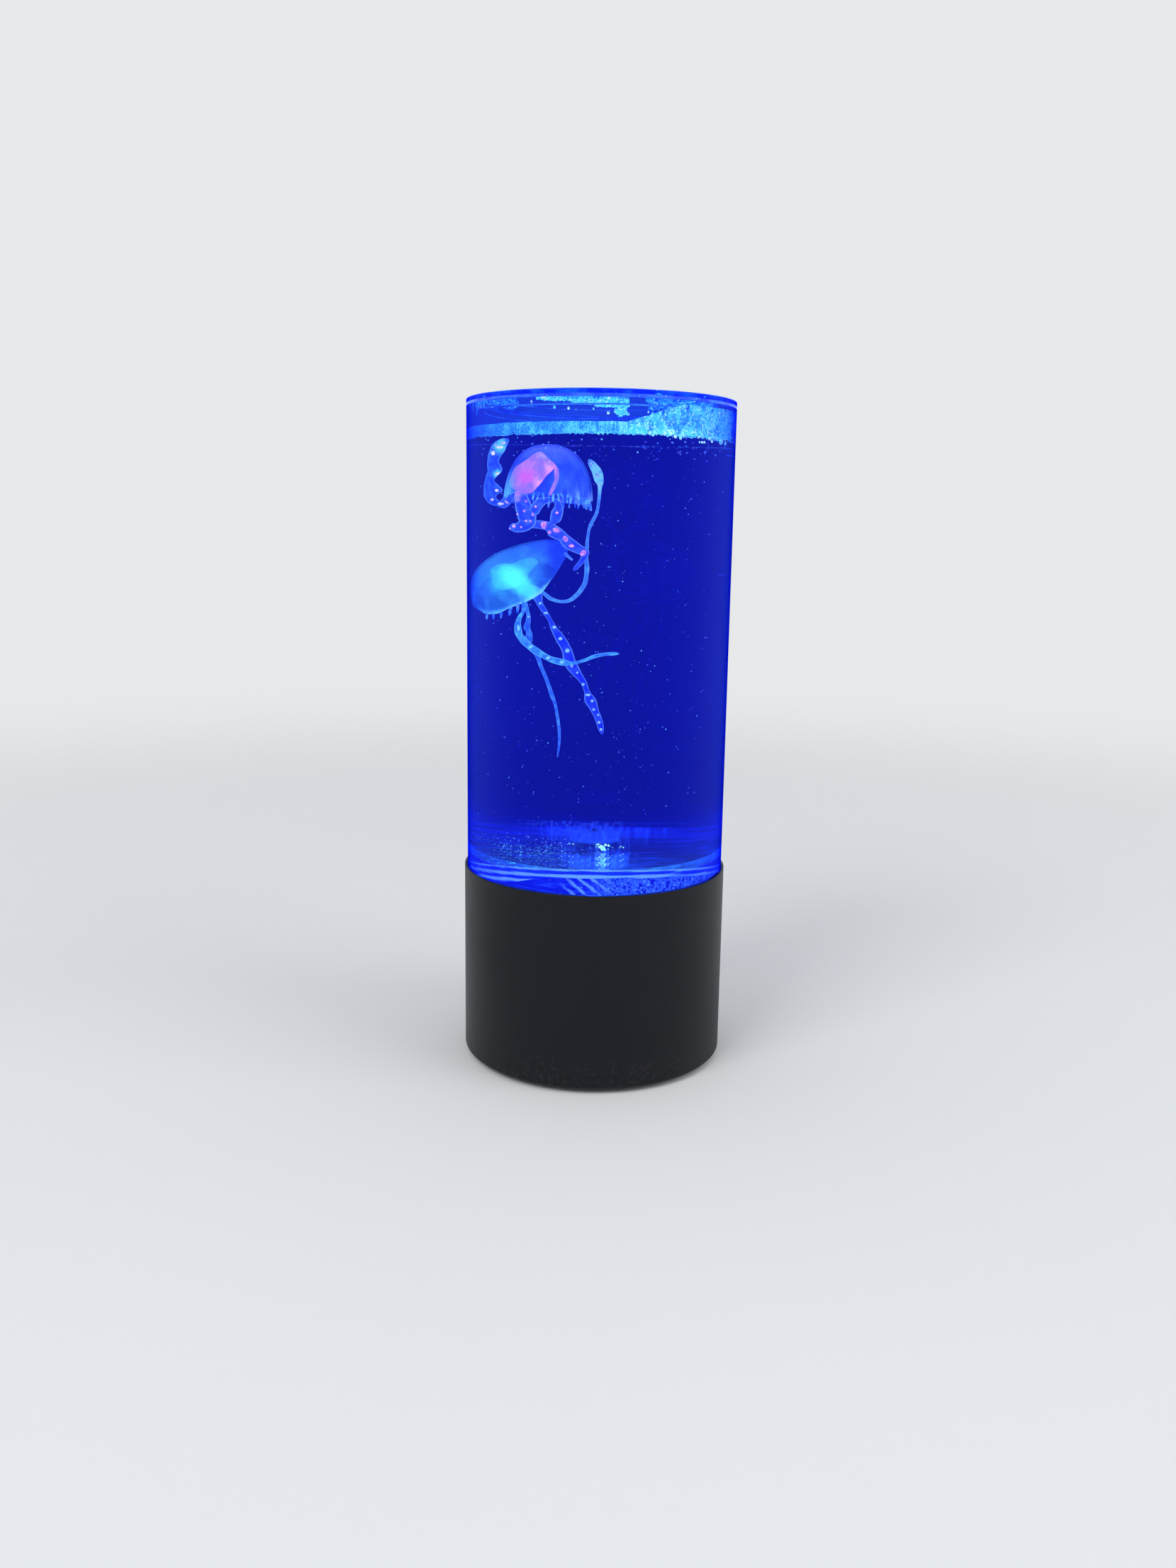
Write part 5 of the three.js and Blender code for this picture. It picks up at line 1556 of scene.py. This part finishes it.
CYAN_MOUTH = (-24.684, 0.0, 204.01)
CYAN_TIP = (22.0, -38.0)
CYAN_SHAPE = (18.75, 12.5, 1.0)
CYAN_LIFT = 3.4
CYAN_COMB = [(211, 1.0), (223, 1.1), (235, 1.0), (249.5, 1.15), (260, 1.0), (267, 1.1)]
CYAN_SIDE_COMB = [(345, 1.0), (5, 0.9)]
CYAN_THREAD = (1.15, 3.1)

cyan_tip = tipped(CYAN_MOUTH, CYAN_TIP)
cyan_skin = Finish(
    "cyan_bell_skin", Roughness=0.35, IOR=SILICONE,
    Sheen_Weight=0.6, Sheen_Roughness=0.25, Sheen_Tint=(0.3, 0.7, 1.0))
# The bell's glow is painted light: lighter at its upper left crown, painted shade on its right, the
# core's glow painted on the front skin as a cone, a lobe and a streak, and a painted highlight along its
# lip. Its sheen is tinted blue to light its outline.
lip = cyan_skin.node("ShaderNodeAttribute", {"attribute_name": "rim"}, output="Fac")
lip = lip * cyan_skin.axis("Y").step(0.002, -0.006)
veil = cyan_skin.grain(5, 4, (1, 0.6, 1), 0.6).step(0.35, 0.7)
front = cyan_skin.axis("Y").step(0.0, -0.006)
right = cyan_skin.axis("X").step(-0.024, -0.014)
cone = cyan_skin.near((-29, 0, 206.5), 1.5, 6.5, flat) + cyan_skin.near((-25.5, 0, 202.6), 1, 5.5, flat)
cone = cyan_skin.math("MINIMUM", cone + cyan_skin.near((-22.6, 0, 199.8), 0.5, 4, flat), 1.0)
lobe = cyan_skin.near((-34, 0, 203), 1, 4.5, (1, 0, 0.7))
streak = cyan_skin.near((-21.5, 0, 213.2), 0.5, 5, (0.75, 0, 1.6))
crown = cyan_skin.axis("X").step(-0.024, -0.034) * cyan_skin.axis("Z").step(0.203, 0.209)
glow(
    cyan_skin, 40, (50, 124, 240), (veil * 0.7, (68, 154, 246)), (crown * 0.7, (78, 176, 242)),
    (right, (36, 76, 240)), (lobe * 0.8, (66, 184, 246)), (streak * 0.6, (74, 172, 248)),
    (cone * front * 0.9, (84, 230, 250)), (lip * 0.9, (118, 200, 255)),
)
cyan_skin.feed(
    Base_Color=veil.between((0.05, 0.18, 0.8), (0.25, 0.6, 1.0)),
    Alpha=veil * 0.1 + cone * front * 0.2 + lobe * 0.12 + lip * 0.25 + 0.28,
    Normal=veil.bump(0.3, 0.5),
)
cyan_bell = bell("cyan_dome", CYAN_SHAPE, cyan_tip, ((7, 0.3), (13, 0.15), (29, 0.06)), 5.0, CYAN_LIFT)
wear(cyan_bell, cyan_skin)
fitted(cyan_bell, "cyan_bell", "cyan_jellyfish", "cyan_bell")

upright = Matrix.Identity(4)
cyan_fringe = fringe(
    "cyan_fringe", cyan_tip, upright, CYAN_SHAPE, CYAN_COMB, *CYAN_THREAD, thread_skin, 8)
side_fringe = fringe(
    "cyan_side_fringe", cyan_tip, cyan_tip, CYAN_SHAPE, CYAN_SIDE_COMB, *CYAN_THREAD, thread_skin, 9,
    CYAN_LIFT)
for threads in (cyan_fringe, side_fringe):
    fitted(threads, "cyan_bell", "cyan_jellyfish")

# Cyan core: a lump of coloured silicone inside the lower bell, made as the upper core is. It fills
# the upper left half of the bell and glows cyan near its middle.

CYAN_CORE = [
    (-35.2, 207.8), (-33.6, 210.2), (-31.0, 211.4), (-27.8, 211.4), (-24.8, 213.0), (-21.2, 213.9),
    (-19.0, 212.4), (-20.4, 210.4), (-22.4, 207.6), (-23.2, 204.6), (-25.0, 202.4), (-28.0, 201.2),
    (-31.6, 200.8), (-34.4, 203.2),
]
CYAN_DEPTH = (-3.5, 7.5)

# The core's glow is painted light, brightest near its middle.
cyan_flesh = Finish("cyan_flesh")
mottle = cyan_flesh.grain(5, 4, (1, 1, 1), 0.8).step(0.35, 0.68)
glow(
    cyan_flesh, 42, (50, 138, 250), (mottle * 0.6, (66, 180, 255)),
    (cyan_flesh.near((-29.0, 0, 206), 0.5, 7.5, flat), (98, 250, 255)),
    (cyan_flesh.near((-21, 0, 213), 1, 5, flat), (58, 150, 252)),
)
cyan_flesh.feed(
    Base_Color=mottle.between((0.1, 0.5, 0.9), (0.35, 0.95, 1.0)),
    Roughness=mottle * 0.2 + 0.3,
    Normal=mottle.bump(0.5, 0.6),
)
heart = bmesh.new()
add_pebble(heart, CYAN_CORE, *CYAN_DEPTH, cyan_tip, CYAN_SHAPE)
cyan_heart = thing_of("cyan_heart", meshed("cyan_heart", heart))
wear(cyan_heart, cyan_flesh)
fitted(cyan_heart, "cyan_core", "cyan_jellyfish", "cyan_core")

# Lower arms: a thin tentacle that climbs up the right side of the upper bell to a spoon-shaped tip,
# a broad spotted arm, a thin trailing arm and one that sweeps to the right.

CYAN_ARMS = {
    "cyan_rising_tentacle": [
        (-23.5, 203.0, -22.4, 203.8, 0.0), (-20.2, 201.2, -19.0, 202.0, 0.5),
        (-17.5, 199.0, -16.4, 199.6, 1.0), (-15.3, 196.8, -14.0, 197.6, 2.0),
        (-12.1, 195.7, -11.4, 196.8, 3.0), (-8.9, 196.0, -9.2, 197.4, 4.0),
        (-6.1, 198.5, -7.0, 199.7, 5.5), (-3.8, 202.8, -5.0, 203.6, 6.5),
        (-3.1, 207.3, -4.4, 207.2, 7.0), (-2.9, 210.1, -4.4, 210.1, 7.3),
        (-3.3, 214.1, -4.3, 214.1, 7.6), (-3.2, 218.1, -4.3, 218.1, 7.8),
        (-3.0, 223.8, -3.8, 223.8, 8.0), (-2.2, 227.2, -3.1, 227.8, 8.0),
        (-0.5, 231.8, -1.4, 232.2, 8.0), (0.1, 236.6, -0.8, 236.6, 8.0),
        (0.5, 241.8, -0.7, 242.6, 8.0), (1.0, 245.0, -1.7, 244.9, 8.0),
        (0.5, 248.7, -2.5, 248.1, 8.0), (-1.1, 251.5, -3.5, 250.8, 8.0),
        (-3.1, 253.8, -4.0, 252.8, 8.0),
    ],
    "cyan_broad_arm": [
        (-24.0, 201.5, -21.0, 203.5, -1.5), (-20.7, 197.1, -18.2, 199.2, -3.0),
        (-19.5, 194.7, -17.9, 196.0, -4.0), (-17.9, 191.6, -16.3, 192.4, -5.0),
        (-16.2, 188.8, -14.9, 189.2, -5.5), (-15.5, 186.0, -13.1, 185.7, -6.0),
        (-14.4, 182.8, -11.6, 183.7, -6.2), (-13.0, 179.6, -9.8, 180.5, -6.4),
        (-11.6, 176.4, -8.3, 176.9, -6.6), (-11.2, 173.5, -7.3, 173.2, -6.6),
        (-10.0, 169.6, -6.1, 170.2, -6.6), (-8.0, 166.9, -5.0, 167.4, -6.6),
        (-5.5, 163.7, -3.5, 164.2, -6.6), (-4.2, 160.0, -2.3, 160.0, -6.6),
        (-4.0, 156.2, -0.4, 157.0, -6.6), (-2.1, 152.5, 0.5, 153.0, -6.6),
        (-0.7, 149.2, 1.5, 149.7, -6.6), (0.4, 145.4, 2.3, 146.0, -6.6),
        (1.4, 142.4, 2.3, 142.6, -6.6),
    ],
    "cyan_thin_arm": [
        (-26.0, 199.5, -24.4, 200.5, 1.5), (-23.6, 194.1, -22.1, 195.1, 3.0),
        (-22.7, 192.6, -21.5, 192.2, 4.0), (-22.2, 189.3, -20.9, 189.3, 4.8),
        (-23.0, 185.1, -21.0, 185.2, 5.2), (-22.2, 183.1, -20.2, 181.9, 5.4),
        (-22.5, 179.3, -20.6, 178.5, 5.6), (-21.1, 176.5, -19.8, 176.7, 5.6),
        (-19.3, 173.1, -17.9, 173.4, 5.6), (-18.2, 169.3, -17.0, 169.4, 5.4),
        (-16.1, 162.8, -15.0, 163.1, 5.0), (-14.6, 156.7, -13.4, 157.2, 4.6),
        (-13.5, 153.4, -12.6, 153.7, 4.4), (-12.6, 147.2, -11.7, 147.5, 4.2),
        (-12.1, 142.0, -11.2, 142.0, 4.0), (-12.0, 136.7, -11.3, 136.7, 4.0),
        (-12.4, 131.2, -11.9, 131.1, 4.0),
    ],
    "cyan_sweeping_arm": [
        (-25.6, 199.8, -24.2, 200.0, -4.5), (-25.0, 196.2, -23.7, 196.2, -7.0),
        (-25.0, 193.2, -23.9, 193.2, -9.0), (-26.9, 190.4, -25.5, 189.8, -11.0),
        (-28.1, 187.2, -25.9, 187.3, -12.5), (-28.2, 184.1, -25.4, 183.7, -13.5),
        (-26.6, 180.7, -24.1, 181.8, -14.5), (-24.5, 178.4, -22.2, 179.7, -15.0),
        (-21.7, 175.9, -20.0, 178.0, -15.4), (-18.3, 174.0, -16.9, 175.7, -15.8),
        (-15.2, 172.3, -14.5, 174.6, -16.0), (-11.4, 171.4, -11.5, 174.0, -16.0),
        (-7.6, 172.0, -8.1, 173.0, -16.0), (-4.1, 173.2, -4.4, 174.4, -16.0),
        (-0.7, 174.7, -1.1, 176.1, -15.8), (2.9, 175.7, 2.6, 176.9, -15.6),
        (7.2, 175.7, 6.9, 177.3, -15.4),
    ],
}

rising_skin = arm_finish(
    "rising_skin", 44, (58, 128, 250), (84, 185, 255), (120, 210, 255), 0.6,
    ((-1.5, 0, 246), 9, (125, 235, 255)))
broad_skin = arm_finish("broad_arm_skin", 34, (26, 42, 235), (46, 74, 250), (100, 170, 255), 0.62)
trailing_skin = arm_finish("trailing_skin", 42, (44, 100, 248), (78, 165, 255), (90, 175, 255), 0.55)
add_arms(
    CYAN_ARMS,
    ("cyan_rising_tentacle", "cyan_jellyfish", rising_skin, cyan_pads),
    ("cyan_broad_arm", "cyan_arms", broad_skin, cyan_pads),
    ("cyan_thin_arm", "cyan_arms", trailing_skin, cyan_pads),
    ("cyan_sweeping_arm", "cyan_arms", trailing_skin, cyan_pads),
)

# Stage: a pale floor that curves up all round into the backdrop, and two large soft lamps. None of
# it belongs to the object.

STAGE_PROFILE = [
    (0, 0), (1100, 0), (1500, 40), (1850, 200), (2100, 500), (2200, 900), (2200, 1900),
]
STAGE_SIDES = 128
STAGE_EASE = 60
BACKDROP = (0.8, 0.81, 0.82, 1.0)
SKY = (0.93, 0.96, 1.0, 1.0)
SKY_STRENGTH = 0.72
LAMPS = {
    "key_lamp": ((-0.9, -1.2, 1.5), 0.9, 14.0),
    "fill_lamp": ((1.3, -0.6, 1.0), 1.1, 7.5),
}
LAMP_AIM = Vector((0, 0, 0.12))

pale = Finish("stage_paint", Roughness=0.9)
wash = pale.grain(400, 2)
pale.feed(Base_Color=wash.between((0.76, 0.77, 0.78), (0.8, 0.805, 0.81)))
eye = pale.node("ShaderNodeLightPath", output="Is Camera Ray")
for ray in ("Is Glossy Ray", "Is Transmission Ray"):
    eye = pale.math("MAXIMUM", eye, pale.node("ShaderNodeLightPath", output=ray))
away = pale.node("ShaderNodeVectorMath", {"operation": "LENGTH"}, {0: pale.place()}, "Value")
lit = pale.node("ShaderNodeEmission", {}, {"Color": BACKDROP, "Strength": 1.0})
paint = Shade(pale.tree, pale.shader.outputs[0])
mixed = pale.node("ShaderNodeMixShader", {}, {0: eye * away.step(0.35, 1.3), 1: paint, 2: lit})
pale.tree.links.new(mixed.socket, pale.tree.nodes["Material Output"].inputs["Surface"])
stage_floor = turned("stage_floor", STAGE_PROFILE, STAGE_SIDES, STAGE_EASE, closed=False)
wear(stage_floor, pale)

world = bpy.data.worlds.new("soft_sky")
world.use_nodes = True
sky = world.node_tree.nodes["Background"]
sky.inputs["Color"].default_value = SKY
sky.inputs["Strength"].default_value = SKY_STRENGTH
bpy.context.scene.world = world

for label, (place, size, power) in LAMPS.items():
    lamp_data = bpy.data.lights.new(label, "AREA")
    lamp_data.size = size
    lamp_data.energy = power
    lamp = bpy.data.objects.new(label, lamp_data)
    aim = (LAMP_AIM - Vector(place)).to_track_quat("-Z", "Y").to_matrix().to_4x4()
    lamp.matrix_world = Matrix.Translation(place) @ aim
    bpy.context.scene.collection.objects.link(lamp)

bpy.context.scene.view_settings.view_transform = "Standard"
